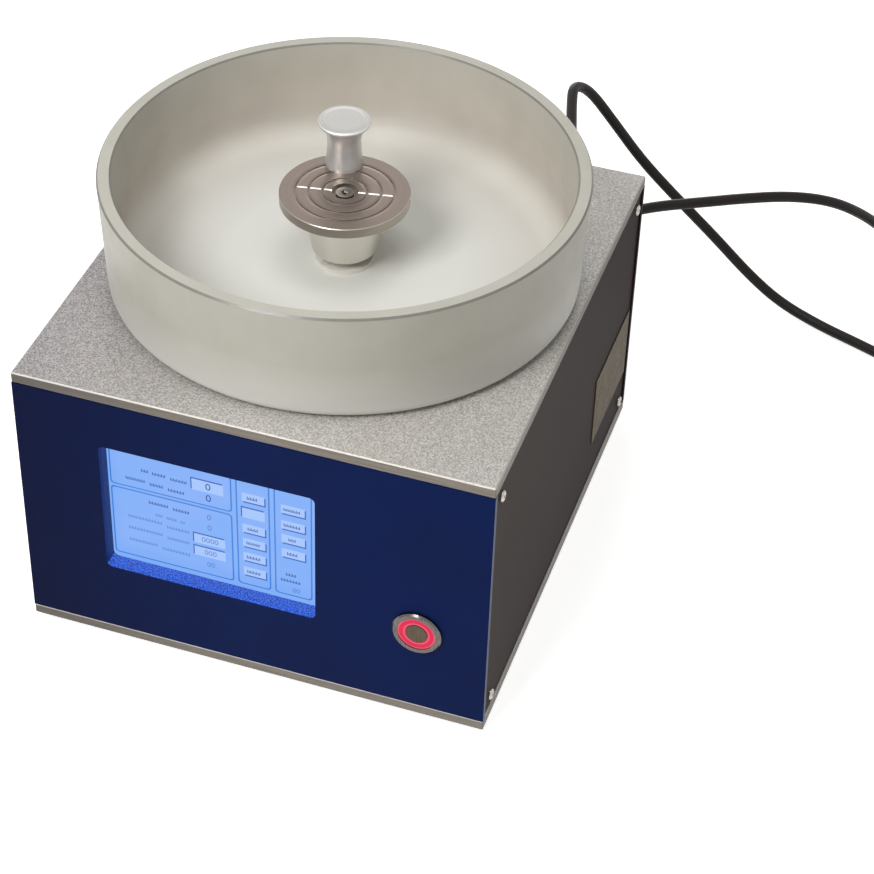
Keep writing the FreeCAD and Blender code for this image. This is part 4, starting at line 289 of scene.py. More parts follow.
def gap(tree, value, mark):
    """How far a value is from a mark, either way."""
    return calculate(tree, "ABSOLUTE", calculate(tree, "SUBTRACT", value, mark))


def seen_rays(tree):
    """1 for camera, glossy and transmission rays; a ray that is of two kinds counts twice."""
    rays = add_node(tree, "ShaderNodeLightPath").outputs
    mirrored = calculate(tree, "ADD", rays["Is Glossy Ray"], rays["Is Transmission Ray"])
    return calculate(tree, "ADD", rays["Is Camera Ray"], mirrored)


def blasted_aluminium(name="Aluminium sandblasted and clear anodised"):
    """Sandblasted aluminium, clear anodised: grains of 0.7 mm, drawn coarser than grit so that they
    show, sparkle light and dark on the faces; painted shade makes the faces darker to the left. The milled
    edges are plain and dull, with painted shade to the left and on the ends, and a painted highlight on the
    bevel above them."""
    tones = colours()
    material, tree, shader, place = new_finish(name, Metallic=0.2, Roughness=0.42)
    speckle = spread(tree, grain(tree, place, 0.7), 0.38, 0.64)
    # Painted shade: the faces and milled edges turn to darker copies of their tones towards the left end.
    left = spread(tree, axes(tree, place)["X"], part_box("top_plate")[0].x, 0.0, 0.8, 0.0)
    face = blend_colours(tree, speckle, tones.plate_dark, tones.plate)
    face = blend_colours(tree, drift(tree, place, 60.0, 0.0, 0.2), face, "#B9AE9F")
    face = blend_colours(tree, left, face, blend_colours(tree, speckle, "#6B6769", "#A9A4A6"))
    mill_marks = spread(tree, grain(tree, place, 0.5, 1.0, (0.02, 0.02, 1.0)), 0.3, 0.7)
    milled = blend_colours(tree, mill_marks, tones.plate_edge, "#857E74")
    milled = blend_colours(tree, left, milled, "#4A443E")
    # Painted shade on the ends, the milled faces that look sideways.
    milled = blend_colours(tree, facing(tree, "X", 0.8, 0.9), milled, "#5A534B")
    # Painted highlight on the bevels, the milled faces that half look up.
    milled = blend_colours(tree, facing(tree, "Z", 0.3, 0.5), milled, "#B4AFA7")
    flat = facing(tree, "Z", 0.8, 0.9)
    feed(shader, Base_Color=blend_colours(tree, flat, milled, face),
         Roughness=spread(tree, speckle, 0, 1, 0.5, 0.38))
    raise_surface(tree, shader, multiply(tree, speckle, flat), 0.03, 0.5)
    return material


def window_light(tree, shader, place):
    """Faces inside the window that look sideways or up take the screen's blue light, the sill most.
    Returns 1 inside the window's outline and 0 outside it."""
    spot = axes(tree, place)
    inner = multiply(tree, calculate(tree, "COMPARE", spot["X"], WINDOW_MIDDLE.x, WINDOW_REACH.x),
                     calculate(tree, "COMPARE", spot["Z"], WINDOW_MIDDLE.z, WINDOW_REACH.z))
    turned_in = facing(tree, "Y", 0.4, 0.5, 1.0, 0.0)
    sill = spread(tree, surface_normal(tree)["Z"], 0.4, 0.6, 0.18, 1.0)
    sparkle = spread(tree, grain(tree, place, 0.7), 0.38, 0.62, 0.3, 1.35)
    feed(shader, Emission_Color=colours().screen_sill,
         Emission_Strength=multiply(tree, inner, turned_in, sill, sparkle))
    return inner


def front_coat(name="Powder coat, smooth navy"):
    """Smooth navy powder coat with a faint orange peel of 1.5 mm, made a little darker to the left by painted
    shade; the panel's sawn ends are lighter."""
    tones = colours()
    material, tree, shader, place = new_finish(name, Roughness=0.42, Specular_IOR_Level=0.04)
    painted = blend_colours(tree, drift(tree, place, 45.0, 0.0, 0.6), tones.navy, "#0B1A45")
    # Painted shade: darker towards the left end.
    left = spread(tree, axes(tree, place)["X"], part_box("front_panel")[0].x, 0.0, 0.8, 0.0)
    painted = blend_colours(tree, left, painted, "#020A2E")
    outside = calculate(tree, "SUBTRACT", 1.0, window_light(tree, shader, place))
    sawn = multiply(tree, facing(tree, "X", 0.5, 0.6), outside)
    feed(shader, Base_Color=blend_colours(tree, sawn, painted, tones.navy_edge))
    raise_surface(tree, shader, grain(tree, place, 1.5), 0.02, 0.25)
    return material


def window_frame(name="ABS, dark blue and moulded"):
    """Moulded frame behind the window: dark blue, its inner edges lit by the screen."""
    material, tree, shader, place = new_finish(name, Roughness=0.5, Specular_IOR_Level=0.2)
    feed(shader, Base_Color=patches(tree, place, 9.0, "#10193A", "#0C1430"))
    window_light(tree, shader, place)
    raise_surface(tree, shader, grain(tree, place, 0.5), 0.02, 0.3)
    return material


def side_coat(name="Stove enamel, satin dark warm grey"):
    """Satin stove enamel on sheet: soft wide reflections, slight waviness of 30 mm, fine 0.8 mm peel,
    and painted shade that makes it darker and redder towards the rear."""
    material, tree, shader, place = new_finish(name, Roughness=0.4, Specular_IOR_Level=0.006)
    low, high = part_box("side_panel_right")
    # Painted shade: darker and redder towards the rear.
    rear = spread(tree, axes(tree, place)["Y"], low.y, high.y)
    painted = patches(tree, place, 90.0, colours().side, "#453D3B")
    feed(shader, Base_Color=blend_colours(tree, rear, painted, "#332727"))
    waves = multiply(tree, grain(tree, place, 30.0), 3.0)
    raise_surface(tree, shader, calculate(tree, "ADD", grain(tree, place, 0.8), waves), 0.03, 0.2)
    return material


def frosted_glass(name="Glass, moulded and acid frosted"):
    """Acid-frosted glass: milky and satin, it glows a little with the light behind it. The floor lies
    on bright metal; painted light makes it whiter than the wall and the outer foot lighter, standing in for
    light from above and from the plate. The inner wall is a warmer copy of the wall's tone, painted light
    too, and the frosting varies softly over 25 mm."""
    tones = colours()
    material, tree, shader, place = new_finish(
        name, Roughness=0.5, IOR=1.5, Transmission_Weight=0.18, Specular_IOR_Level=0.4)
    out, height = around(tree, place), axes(tree, place)["Z"]
    low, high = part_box("bowl")
    inside = spread(tree, out, high.x - 8.5 * MM, high.x - 6.5 * MM, 1.0, 0.0)
    # Painted light: the floor's white fades up the wall's inner foot, along a cone, and the plate's painted
    # light fades up the outer foot.
    cone = calculate(tree, "ADD", multiply(tree, out, 0.6), height)
    floor = multiply(tree, spread(tree, cone, low.z + 41 * MM, low.z + 92 * MM, 1.0, 0.0), inside)
    foot = multiply(tree, spread(tree, height, low.z, low.z + 30 * MM, 0.8, 0.0),
                    calculate(tree, "SUBTRACT", 1.0, inside))
    # Painted light: the inner wall takes a warmer copy of the wall's tone.
    wall = blend_colours(tree, inside, patches(tree, place, 25.0, tones.glass, "#C6C3B7"),
                         patches(tree, place, 25.0, "#CFC7BC", "#C6BDB1"))
    # Painted light: the floor and the outer foot blend to the lighter glass tone.
    for white in (foot, floor):
        wall = blend_colours(tree, white, wall, tones.glass_lit_white)
    feed(shader, Base_Color=wall, Roughness=drift(tree, place, 6.0, 0.44, 0.56))
    raise_surface(tree, shader, grain(tree, place, 0.5), 0.01, 0.3)
    return material


def ground_glass(name="Glass, ground edge"):
    """Ground and half polished edge of the same glass: clearer than the frosted wall, so darker."""
    material, tree, shader, place = new_finish(
        name, Roughness=0.3, IOR=1.5, Transmission_Weight=0.25, Specular_IOR_Level=0.5)
    feed(shader, Base_Color=patches(tree, place, 4.0, colours().glass_edge, "#88857E"))
    raise_surface(tree, shader, grain(tree, place, 0.4), 0.01, 0.3)
    return material


def turned_metal(name, tint, dark, roughness, pitch, centre=(0, 0, 0), ring_height=0.004, side=None,
                 grooves=(), metallic=1.0):
    """Turned metal: tool rings of this pitch in mm round an upright axis, with satin highlights.
    A side tint is a painted reflection on the faces that don't look up, darker near the large chuck's
    edge radii, and grooves are the radii in mm whose edges are dressed round and catch the light."""
    material, tree, shader, place = new_finish(name, Metallic=metallic, Roughness=roughness)
    out = around(tree, place, centre=centre)
    along = calculate(tree, "ADD", out, axes(tree, place)["Z"])
    ring_tone = add_node(tree, "ShaderNodeTexNoise", settings={"noise_dimensions": "1D"},
                         sockets={"Scale": per_mm(2.5), "Detail": 2.0}, links={"W": along}).outputs["Fac"]
    base = blend_colours(tree, spread(tree, ring_tone, 0.35, 0.65), tint, dark)
    # Painted reflection: faces that don't look up take the side tint, darker between the edge radii.
    if side:
        edge = spread(tree, out, CHUCK_EDGE[0] * MM, CHUCK_EDGE[1] * MM, 0.0, 0.8)
        up = spread(tree, surface_normal(tree)["Z"], 0.7, 0.9)
        base = blend_colours(tree, up, blend_colours(tree, edge, side, "#A59D93"), base)
    feed(shader, Base_Color=base,
         Roughness=spread(tree, ring_tone, 0.3, 0.7, roughness - 0.03, roughness + 0.04))
    rings = calculate(tree, "SINE", multiply(tree, along, 2 * math.pi * per_mm(pitch)))
    height = multiply(tree, rings, ring_height)
    for radius in grooves:
        dressed = spread(tree, gap(tree, out, radius * MM), 0.4 * MM, 1.6 * MM, 1.0, 0.0)
        height = calculate(tree, "SUBTRACT", height, dressed)
    raise_surface(tree, shader, height, 0.25 if grooves else 1.0, 0.5)
    return material


def paint_cross_glint(material, grooves):
    """Painted highlight: the milled floor of the chuck's cross groove is coloured white and glows, except
    where the rings cross it.
    """
    tree = material.node_tree
    shader = next(node for node in tree.nodes if node.type == "BSDF_PRINCIPLED")
    place = add_node(tree, "ShaderNodeTexCoord").outputs["Object"]
    turned_back = add_node(tree, "ShaderNodeMapping", links={"Vector": place},
                           sockets={"Rotation": (0, 0, math.radians(-CROSS_TURN))})
    spot = axes(tree, turned_back.outputs["Vector"])
    beside = calculate(tree, "ABSOLUTE", spot["Y"])
    deep_in, deep, shallow, shallow_out = (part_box("chuck")[1].z - depth * MM for depth in CROSS_DEPTH)
    bright = multiply(
        tree, spread(tree, beside, CROSS_HALF_WIDTH * MM, (CROSS_HALF_WIDTH + 0.1) * MM, 1.0, 0.0),
        spread(tree, spot["Z"], shallow, shallow_out, 1.0, 0.0), spread(tree, spot["Z"], deep_in, deep))
    for radius in grooves:
        crossing = spread(tree, gap(tree, around(tree, place), radius * MM), 0.6 * MM, 0.9 * MM)
        bright = multiply(tree, bright, crossing)
    base = shader.inputs["Base Color"].links[0].from_socket
    # Painted highlight: white colour and a glow on the groove's floor.
    feed(shader, Base_Color=blend_colours(tree, bright, base, "#FFFFFF"), Emission_Color="#F4EDE6",
         Emission_Strength=multiply(tree, bright, 0.5))
    return material


def brushed_metal(name, tint, dark, roughness=0.3, stretch=(1.0, 1.0, 0.04), metallic=1.0):
    """Brushed metal: hair lines 0.25 mm wide, along the axis that stretch makes long."""
    material, tree, shader, place = new_finish(name, Metallic=metallic, Roughness=roughness)
    lines = grain(tree, place, 0.25, stretch=stretch)
    feed(shader, Base_Color=blend_colours(tree, spread(tree, lines, 0.3, 0.7), tint, dark),
         Roughness=spread(tree, lines, 0.3, 0.7, roughness - 0.06, roughness + 0.08))
    raise_surface(tree, shader, lines, 0.008, 0.4)
    return material


def moulded(name, tint, roughness=0.45, size=0.4, depth=0.02, dark=None, **sockets):
    """Moulded or coated piece: spark-eroded texture of this grain in mm and a soft drift of its tone."""
    material, tree, shader, place = new_finish(name, Roughness=roughness, **sockets)
    feed(shader, Base_Color=patches(tree, place, 9.0, tint, dark or tint),
         Roughness=drift(tree, place, 3.0, roughness - 0.05, roughness + 0.07))
    raise_surface(tree, shader, grain(tree, place, size), depth, 0.35)
    return material


def lit(name, tint, strength, dark=None, size=12.0):
    """A surface that gives off its own light, a little uneven over this many millimetres."""
    material, tree, shader, place = new_finish(name, Roughness=0.3, Specular_IOR_Level=0.15)
    feed(shader, Base_Color="#080C18", Emission_Strength=strength,
         Emission_Color=patches(tree, place, size, tint, dark or tint))
    return material


def lit_ring(name="Polycarbonate, lit red"):
    """Red light ring of the push button, with a finer lighter line at each of its edges."""
    material, tree, shader, place = new_finish(name, Roughness=0.35, Specular_IOR_Level=0.2)
    low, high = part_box("button_light_ring")
    out = around(tree, place, "X", "Z", (low + high) / 2)
    light = 0.0
    for radius in RING_LINES:
        line = spread(tree, gap(tree, out, radius * MM), 0.1 * MM, 0.6 * MM, 0.55, 0.0)
        light = calculate(tree, "ADD", light, line)
    feed(shader, Base_Color="#3A0614", Emission_Strength=0.72,
         Emission_Color=blend_colours(tree, light, colours().ring_light, "#FF8FA6"))
    raise_surface(tree, shader, grain(tree, place, 1.5), 0.01, 0.2)
    return material


def dress(material, *names):
    """Give CAD nodes their finish."""
    for name in names:
        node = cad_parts[name]
        node.data.materials.clear()
        node.data.materials.append(material)


# ---- modelling helpers
def deselect():
    bpy.ops.object.select_all(action="DESELECT")


def finish_piece(piece, name, material, body, smooth=True):
    """Name a new piece, put its origin at the world's, and let it ride on its body."""
    bpy.ops.object.mode_set(mode="OBJECT")
    bpy.ops.object.transform_apply(location=True, rotation=True, scale=True)
    if smooth:
        bpy.ops.object.shade_smooth_by_angle(angle=math.radians(SMOOTH_ANGLE))
    piece.name = name
    piece.data.name = name
    if material:
        piece.data.materials.clear()
        piece.data.materials.append(material)
    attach(piece, body)
    return piece


def bend_spring(material):
    """Make a copy of the button's return spring, its doubled points merged, in place of the CAD node."""
    spring = bpy.data.objects.new("ButtonSpring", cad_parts["button_spring"].data.copy())
    bpy.context.collection.objects.link(spring)
    deselect()
    spring.select_set(True)
    bpy.context.view_layer.objects.active = spring
    bpy.ops.object.mode_set(mode="EDIT")
    bpy.ops.mesh.select_all(action="SELECT")
    bpy.ops.mesh.remove_doubles(threshold=MERGE_DISTANCE)
    bpy.ops.object.mode_set(mode="OBJECT")
    spring.data.materials.clear()
    spring.data.materials.append(material)
    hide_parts("button_spring")
    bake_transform(spring)


def turned(name, profile, foot, axis, material, body, steps):
    """Lathe work: a circle extruded and resized along a profile of (radius, height) in mm, which ends
    where it starts."""
    deselect()
    radius, height = profile[0]
    bpy.ops.mesh.primitive_circle_add(vertices=steps, radius=radius * MM, fill_type="NOTHING",
                                      location=foot + axis * height * MM,
                                      rotation=axis.to_track_quat("Z", "Y").to_euler())
    piece = bpy.context.object
    bpy.ops.object.mode_set(mode="EDIT")
    for (radius, height), (next_radius, next_height) in zip(profile, profile[1:]):
        rise = axis * (next_height - height) * MM
        bpy.ops.mesh.extrude_region_move(TRANSFORM_OT_translate={"value": rise})
        if next_radius != radius:
            bpy.ops.transform.resize(value=(next_radius / radius,) * 3,
                                     center_override=foot + axis * next_height * MM)
    bpy.ops.mesh.select_all(action="SELECT")
    bpy.ops.mesh.remove_doubles(threshold=MERGE_DISTANCE)
    bpy.ops.mesh.normals_make_consistent(inside=False)
    return finish_piece(piece, name, material, body)


def rounded(radius, height, size, start, end, steps=6):
    """Points of an arc of this size about (radius, height), between two angles in degrees."""
    points = []
    for step in range(steps + 1):
        angle = math.radians(start + (end - start) * step / steps)
        points.append((radius + size * math.cos(angle), height + size * math.sin(angle)))
    return points


# ---- screen picture
PICTURE_LEFT, PICTURE_TOP = -76.0, 121.0  # millimetres; above it the screen is plain
PICTURE_WIDTH, PICTURE_HEIGHT = 105.0, 69.0
# Millimetres in front of the glass: the first layer, each next one, the numbers, and how far the
# words on the keys stand before the other words.
FIRST_LAYER, LAYER_STEP, NUMBER_LAYER, KEY_WORD_STEP = 0.03, 0.05, 0.19, 0.06
PANE_LAYERS, SHADE_LAYER, TOP_LAYER = (0, 1), 2, 3
PANE_LINE = (0.007, 0.011)  # width of the lines round a pane, across and down
PANE_ROUNDS = (2.0, 1.6)  # millimetres, of a pane's line and of the pane in it
LETTER_PITCH, STROKE_WIDTH = 0.015, 0.0042
LONG_STROKE, SHORT_STROKE, SHORT_DROP = 0.026, 0.017, 0.009
KEY_HEIGHT, KEY_WORD_DROP = 0.078, 0.028
KEY_SHADE = (0.006, 0.012)  # how far a key's shadow lies across and down
FIELD_SHADE = (0.006, 0.004, 0.011, 0.005)  # by which a field's shadow lies left, left, up and up
# From here on down, words and numbers are faint.
FAINT_WORDS, FAINT_NUMBERS = 0.45, 0.4

# Places are shares of the picture's width and height, from its upper left corner.
PANES = (  # left, right, top, bottom
    (0.0, 0.605, -0.02, 0.315), (0.0, 0.605, 0.335, 0.975),
    (0.625, 0.79, -0.02, 0.975), (0.81, 0.995, -0.02, 0.975),
)
WORDS = (  # left, top, letters
    (0.16, 0.115, 3), (0.215, 0.12, 5), (0.305, 0.13, 6), (0.08, 0.215, 7), (0.20, 0.225, 5),
    (0.29, 0.235, 6), (0.19, 0.40, 7), (0.31, 0.41, 6), (0.22, 0.505, 3), (0.275, 0.51, 4),
    (0.345, 0.515, 2), (0.08, 0.575, 12), (0.275, 0.595, 8), (0.08, 0.685, 12), (0.275, 0.70, 8),
    (0.08, 0.80, 10), (0.245, 0.815, 10),
)
FIELDS = (  # left, right, top, bottom
    (0.41, 0.565, 0.085, 0.185), (0.41, 0.565, 0.60, 0.685), (0.41, 0.565, 0.72, 0.805),
    (0.655, 0.765, 0.24, 0.33),
)
NUMBERS = (  # text, middle across, middle down, size in millimetres
    ("0", 0.49, 0.135, 6.0), ("0", 0.49, 0.24, 6.0), ("0", 0.49, 0.42, 5.0), ("0", 0.49, 0.52, 5.0),
    ("0000", 0.49, 0.643, 4.4), ("000", 0.49, 0.763, 4.4), ("00", 0.49, 0.875, 4.4),
    ("00", 0.915, 0.915, 4.0),
)
KEYS = (  # left, right, top, letters
    (0.655, 0.765, 0.10, 4), (0.655, 0.765, 0.39, 4), (0.655, 0.765, 0.525, 5),
    (0.655, 0.765, 0.66, 5), (0.655, 0.765, 0.80, 5), (0.845, 0.96, 0.12, 6),
    (0.845, 0.96, 0.265, 6), (0.845, 0.96, 0.395, 3), (0.845, 0.96, 0.53, 4),
)
CORNER_WORDS = ((0.865, 0.76, 4), (0.84, 0.82, 7))  # left, top, letters


def tile(tiles, left, right, top, bottom, layer, material, round_off=0.0):
    """A flat tile of the picture between shares of its width and height, on one of its layers."""
    x0, x1 = PICTURE_LEFT + left * PICTURE_WIDTH, PICTURE_LEFT + right * PICTURE_WIDTH
    z0, z1 = PICTURE_TOP - bottom * PICTURE_HEIGHT, PICTURE_TOP - top * PICTURE_HEIGHT
    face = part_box("touch_glass")[0].y / MM - FIRST_LAYER - LAYER_STEP * layer
    bpy.ops.mesh.primitive_plane_add(size=1, location=mm((x0 + x1) / 2, face, (z0 + z1) / 2),
                                     rotation=(math.radians(90), 0, 0))
    piece = bpy.context.object
    piece.scale = ((x1 - x0) * MM, (z1 - z0) * MM, 1)
    bpy.ops.object.transform_apply(location=True, rotation=True, scale=True)
    if round_off:
        bpy.ops.object.mode_set(mode="EDIT")
        bpy.ops.mesh.bevel(offset=round_off * MM, segments=4, affect="VERTICES")
        bpy.ops.object.mode_set(mode="OBJECT")
    piece.data.materials.append(material)
    tiles.append(piece)
    return piece


def word(tiles, left, top, letters, material):
    """A blank word: a row of fine strokes, long and short by turns, two for each letter."""
    for start, fall, height, count in ((0.0, 0.0, LONG_STROKE, letters),
                                       (LETTER_PITCH / 2, SHORT_DROP, SHORT_STROKE, letters - 1)):
        stroke = tile(tiles, left + start, left + start + STROKE_WIDTH, top + fall, top + fall + height,
                      TOP_LAYER, material)
        row = stroke.modifiers.new("Row", "ARRAY")
        row.count = count
        row.use_relative_offset = False
        row.use_constant_offset = True
        row.constant_offset_displace = (LETTER_PITCH * PICTURE_WIDTH * MM, 0, 0)
        bpy.ops.object.modifier_apply(modifier=row.name)


def number(tiles, body, left, top, size, material):
    """A generic number as a flat mesh."""
    place = mm(PICTURE_LEFT + left * PICTURE_WIDTH, 0, PICTURE_TOP - top * PICTURE_HEIGHT)
    place.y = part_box("touch_glass")[0].y - NUMBER_LAYER * MM
    bpy.ops.object.text_add(location=place, rotation=(math.radians(90), 0, 0))
    text = bpy.context.object
    text.data.body = body
    text.data.size = size * MM
    text.data.align_x = "CENTER"
    text.data.align_y = "CENTER"
    bpy.ops.object.convert(target="MESH")
    piece = bpy.context.object
    piece.data.materials.clear()
    piece.data.materials.append(material)
    tiles.append(piece)


def draw_picture():
    """Panes, fields, keys, blank words and zeros, joined into one thin piece."""
    tones = colours()
    deselect()
    line = lit("Screen, pane lines", tones.screen_line, 0.9)
    pane = lit("Screen, panes", tones.screen, 0.92, "#8DB6FF", 30.0)
    field = lit("Screen, fields", "#A9C9FF", 0.95)
    shade = lit("Screen, key shadows", "#3F70C8", 0.8)
    ink = lit("Screen, characters", "#3458AC", 0.8)
    faint = lit("Screen, faint characters", "#6390DD", 0.85)
    tiles = []
    across, down = PANE_LINE
    for left, right, top, bottom in PANES:
        tile(tiles, left, right, top, bottom, PANE_LAYERS[0], line, PANE_ROUNDS[0])
        tile(tiles, left + across, right - across, top + down, bottom - down, PANE_LAYERS[1], pane,
             PANE_ROUNDS[1])
    for left, top, letters in WORDS:
        word(tiles, left, top, letters, faint if top > FAINT_WORDS else ink)
    for left, right, top, bottom in FIELDS:
        sides = [side - shift for side, shift in zip((left, right, top, bottom), FIELD_SHADE)]
        tile(tiles, *sides, SHADE_LAYER, shade)
        tile(tiles, left, right, top, bottom, TOP_LAYER, field)
    for body, left, top, size in NUMBERS:
        number(tiles, body, left, top, size, faint if top > FAINT_NUMBERS else ink)
    across, down = KEY_SHADE
    for left, right, top, letters in KEYS:
        tile(tiles, left + across, right + across, top + down, top + KEY_HEIGHT + down, SHADE_LAYER, shade)
        tile(tiles, left, right, top, top + KEY_HEIGHT, TOP_LAYER, field)
        word(tiles, (left + right) / 2 - letters * LETTER_PITCH / 2, top + KEY_WORD_DROP, letters, ink)
        for stroke in tiles[-2:]:
            stroke.data.transform(Matrix.Translation((0, -KEY_WORD_STEP * MM, 0)))
    for left, top, letters in CORNER_WORDS:
        word(tiles, left, top, letters, ink)
    deselect()
    for piece in tiles:
        piece.select_set(True)
    bpy.context.view_layer.objects.active = tiles[0]
    bpy.ops.object.join()
    picture = bpy.context.object
    layer = picture.modifiers.new("Layer", "SOLIDIFY")
    layer.thickness = sizes().picture_depth
    bpy.ops.object.modifier_apply(modifier=layer.name)
    finish_piece(picture, "ScreenPicture", None, "root", smooth=False)


# ---- camera
CAMERA_PLACE = (338.141, -938.548, 907.752)  # millimetres
CAMERA_TURN = (49.3818, -0.6571, 19.4614)  # degrees
CAMERA_SHIFT = 0.0721  # share of the sensor's width


class SPINCOATER_OT_set_camera(bpy.types.Operator):
    """Place the camera in front of the case, above it and to its right, looking down at it"""
    bl_idname = "spin_coater.set_camera"
    bl_label = "Set Camera"

    def execute(self, context):
        camera = bpy.data.cameras.new("Camera")
        camera.lens = sizes().lens
        camera.shift_x = CAMERA_SHIFT
        camera.clip_end = 20
        eye = bpy.data.objects.new("Camera", camera)
        eye.location = mm(*CAMERA_PLACE)
        eye.rotation_euler = [math.radians(turn) for turn in CAMERA_TURN]
        context.scene.collection.objects.link(eye)
        context.scene.camera = eye
        return {"FINISHED"}


# ---- cords
# The cords' points, from the exit to the coil, in metres.
LEAD_POINTS = (
    (0.064, 0.181, 0.130), (0.064, 0.192, 0.130), (0.0595, 0.208, 0.1315), (0.0545, 0.225, 0.1345),
    (0.051, 0.240, 0.137), (0.0575, 0.252, 0.1285), (0.072, 0.255, 0.109), (0.092, 0.2545, 0.0855),
    (0.116, 0.254, 0.064), (0.140, 0.2535, 0.0435), (0.161, 0.2525, 0.0245), (0.182, 0.250, 0.0105),
    (0.208, 0.244, 0.0042), (0.235, 0.235, 0.0034), (0.262, 0.224, 0.0032),
)
HOSE_POINTS = (
    (0.095, 0.152, 0.101), (0.095, 0.166, 0.101), (0.101, 0.181, 0.1005), (0.115, 0.194, 0.0995),
    (0.136, 0.2055, 0.0995), (0.159, 0.2185, 0.0995), (0.182, 0.234, 0.0965), (0.2035, 0.250, 0.088),
    (0.221, 0.267, 0.0715), (0.235, 0.284, 0.0505), (0.246, 0.301, 0.0295), (0.257, 0.316, 0.013),
    (0.268, 0.3275, 0.0052), (0.2795, 0.336, 0.0034),
)
# Name, points, coil's node, degrees at which it leaves the coil, degrees round it to its first shift,
# height of its end and reach to its end piece in metres, slot, replaced nodes, far end and end piece.
CORDS = (
    ("MainsLead", LEAD_POINTS, "mains_coil", -76.0, 60.0, 0.012, 0.02198,
     "cord", ("mains_lead", "mains_coil"), "plug", "mains_plug"),
    ("VacuumHose", HOSE_POINTS, "hose_coil", 18.0, 110.0, 0.009225, 0.02595,
     "hose", ("vacuum_hose", "hose_coil"), "fitting", "hose_end_fitting"),
)
COIL_TURNS = 5  # and the part up to the angle at which it leaves
COIL_STEP = 22.5  # degrees between points of a turn
COIL_SHIFT = 67.5  # degrees in which a turn moves over to the next lane or layer


def ramp(angle, start):
    """0 before start, 1 from one shift later on."""
    return min(1.0, max(0.0, (angle - start) / COIL_SHIFT))


def coil_points(node, heading, exit_angle, first_shift, exit_height, end_reach):
    """Five turns and a part: in on the lower outer lane, inwards over three lanes, up to the second
    layer, outwards again, and off at a tangent to the end piece."""
    size = sizes()
    low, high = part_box(node)
    centre = (low + high) / 2
    outer = size.coil_radius + size.coil_pitch
    first_layer = size.coil_pitch / 2
    entry = math.degrees(math.atan2(heading.y, heading.x)) - 90
    total = COIL_TURNS * FULL_TURN + (exit_angle - entry) % FULL_TURN
    count = round(total / COIL_STEP)
    step = total / count
    corner = 1 / math.cos(math.radians(step / 2))
    back = outer * math.tan(math.radians(step / 2))
    inward = Vector((math.cos(math.radians(entry)), math.sin(math.radians(entry)), 0))
    points = [centre + inward * outer - heading * back]
    points[0].z = first_layer
    for index in range(count):
        angle = (index + 0.5) * step
        lanes = (-ramp(angle, first_shift + 2 * COIL_SHIFT)
                 - ramp(angle, first_shift + 2 * COIL_SHIFT + FULL_TURN)
                 + ramp(angle, first_shift + 3 * FULL_TURN) + ramp(angle, first_shift + 4 * FULL_TURN))
        layers = ramp(angle, first_shift + COIL_SHIFT + 2 * FULL_TURN)
        radius = corner * (outer + size.coil_pitch * lanes)
        height = first_layer + size.coil_pitch * layers
        height += (exit_height - first_layer - size.coil_pitch) * ramp(angle, total - COIL_SHIFT)
        turn = math.radians(entry + angle)
        points.append(Vector((centre.x + radius * math.cos(turn), centre.y + radius * math.sin(turn),
                              height)))
    turn = math.radians(exit_angle)
    outward = Vector((math.cos(turn), math.sin(turn), 0))
    onward = UP.cross(outward)
    for reach in (back, end_reach):
        point = centre + outward * outer + onward * reach
        point.z = exit_height
        points.append(point)
    return points


def cord(name, points, material, slot, nodes, far_end, pieces):
    """One open NURBS spline with its points as control points."""
    curve = bpy.data.curves.new(name, "CURVE")
    curve.dimensions = "3D"
    curve.bevel_depth = sizes().cord_diameter / 2
    curve.bevel_resolution = 5
    curve.use_fill_caps = True
    spline = curve.splines.new("NURBS")
    spline.points.add(len(points) - 1)
    for point, place in zip(spline.points, points):
        point.co = (*place, 1.0)
    spline.order_u = 3
    spline.use_endpoint_u = True
    spline.resolution_u = 6
    spline.use_smooth = True
    piece = bpy.data.objects.new(name, curve)
    bpy.context.scene.collection.objects.link(piece)
    curve.materials.append(material)
    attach(piece, "root")
    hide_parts(*nodes)


class SPINCOATER_OT_lay_cords(bpy.types.Operator):
    """Lay the mains lead and the vacuum hose from the rear panel to their put-away coils"""
    bl_idname = "spin_coater.lay_cords"
    bl_label = "Lay Cords"

    def execute(self, context):
        tones = colours()
        rubber = moulded("Rubber, black and extruded", tones.cord, 0.45, 0.5, 0.015, "#1C1614",
                         Specular_IOR_Level=0.2)
        black = moulded("PVC, black and moulded", "#1B1817", 0.5, 0.5, 0.03, "#151312")
        for name, route, coil, exit_angle, shift, height, reach, slot, nodes, far_end, end_piece in CORDS:
            points = [Vector(point) for point in route]
            heading = points[-1] - points[-2]
            heading.z = 0
            heading.normalize()
            points += coil_points(coil, heading, exit_angle, shift, height, reach)
            cord(name, points, rubber, slot, nodes, far_end, [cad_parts[end_piece]])
        dress(black, "mains_plug", "mains_connector")
        dress(turned_metal("Brass, nickel plated and turned", "#C9C6BE", "#AFABA2", 0.25, 0.5),
              "hose_end_fitting", "hose_bulkhead")
        return {"FINISHED"}


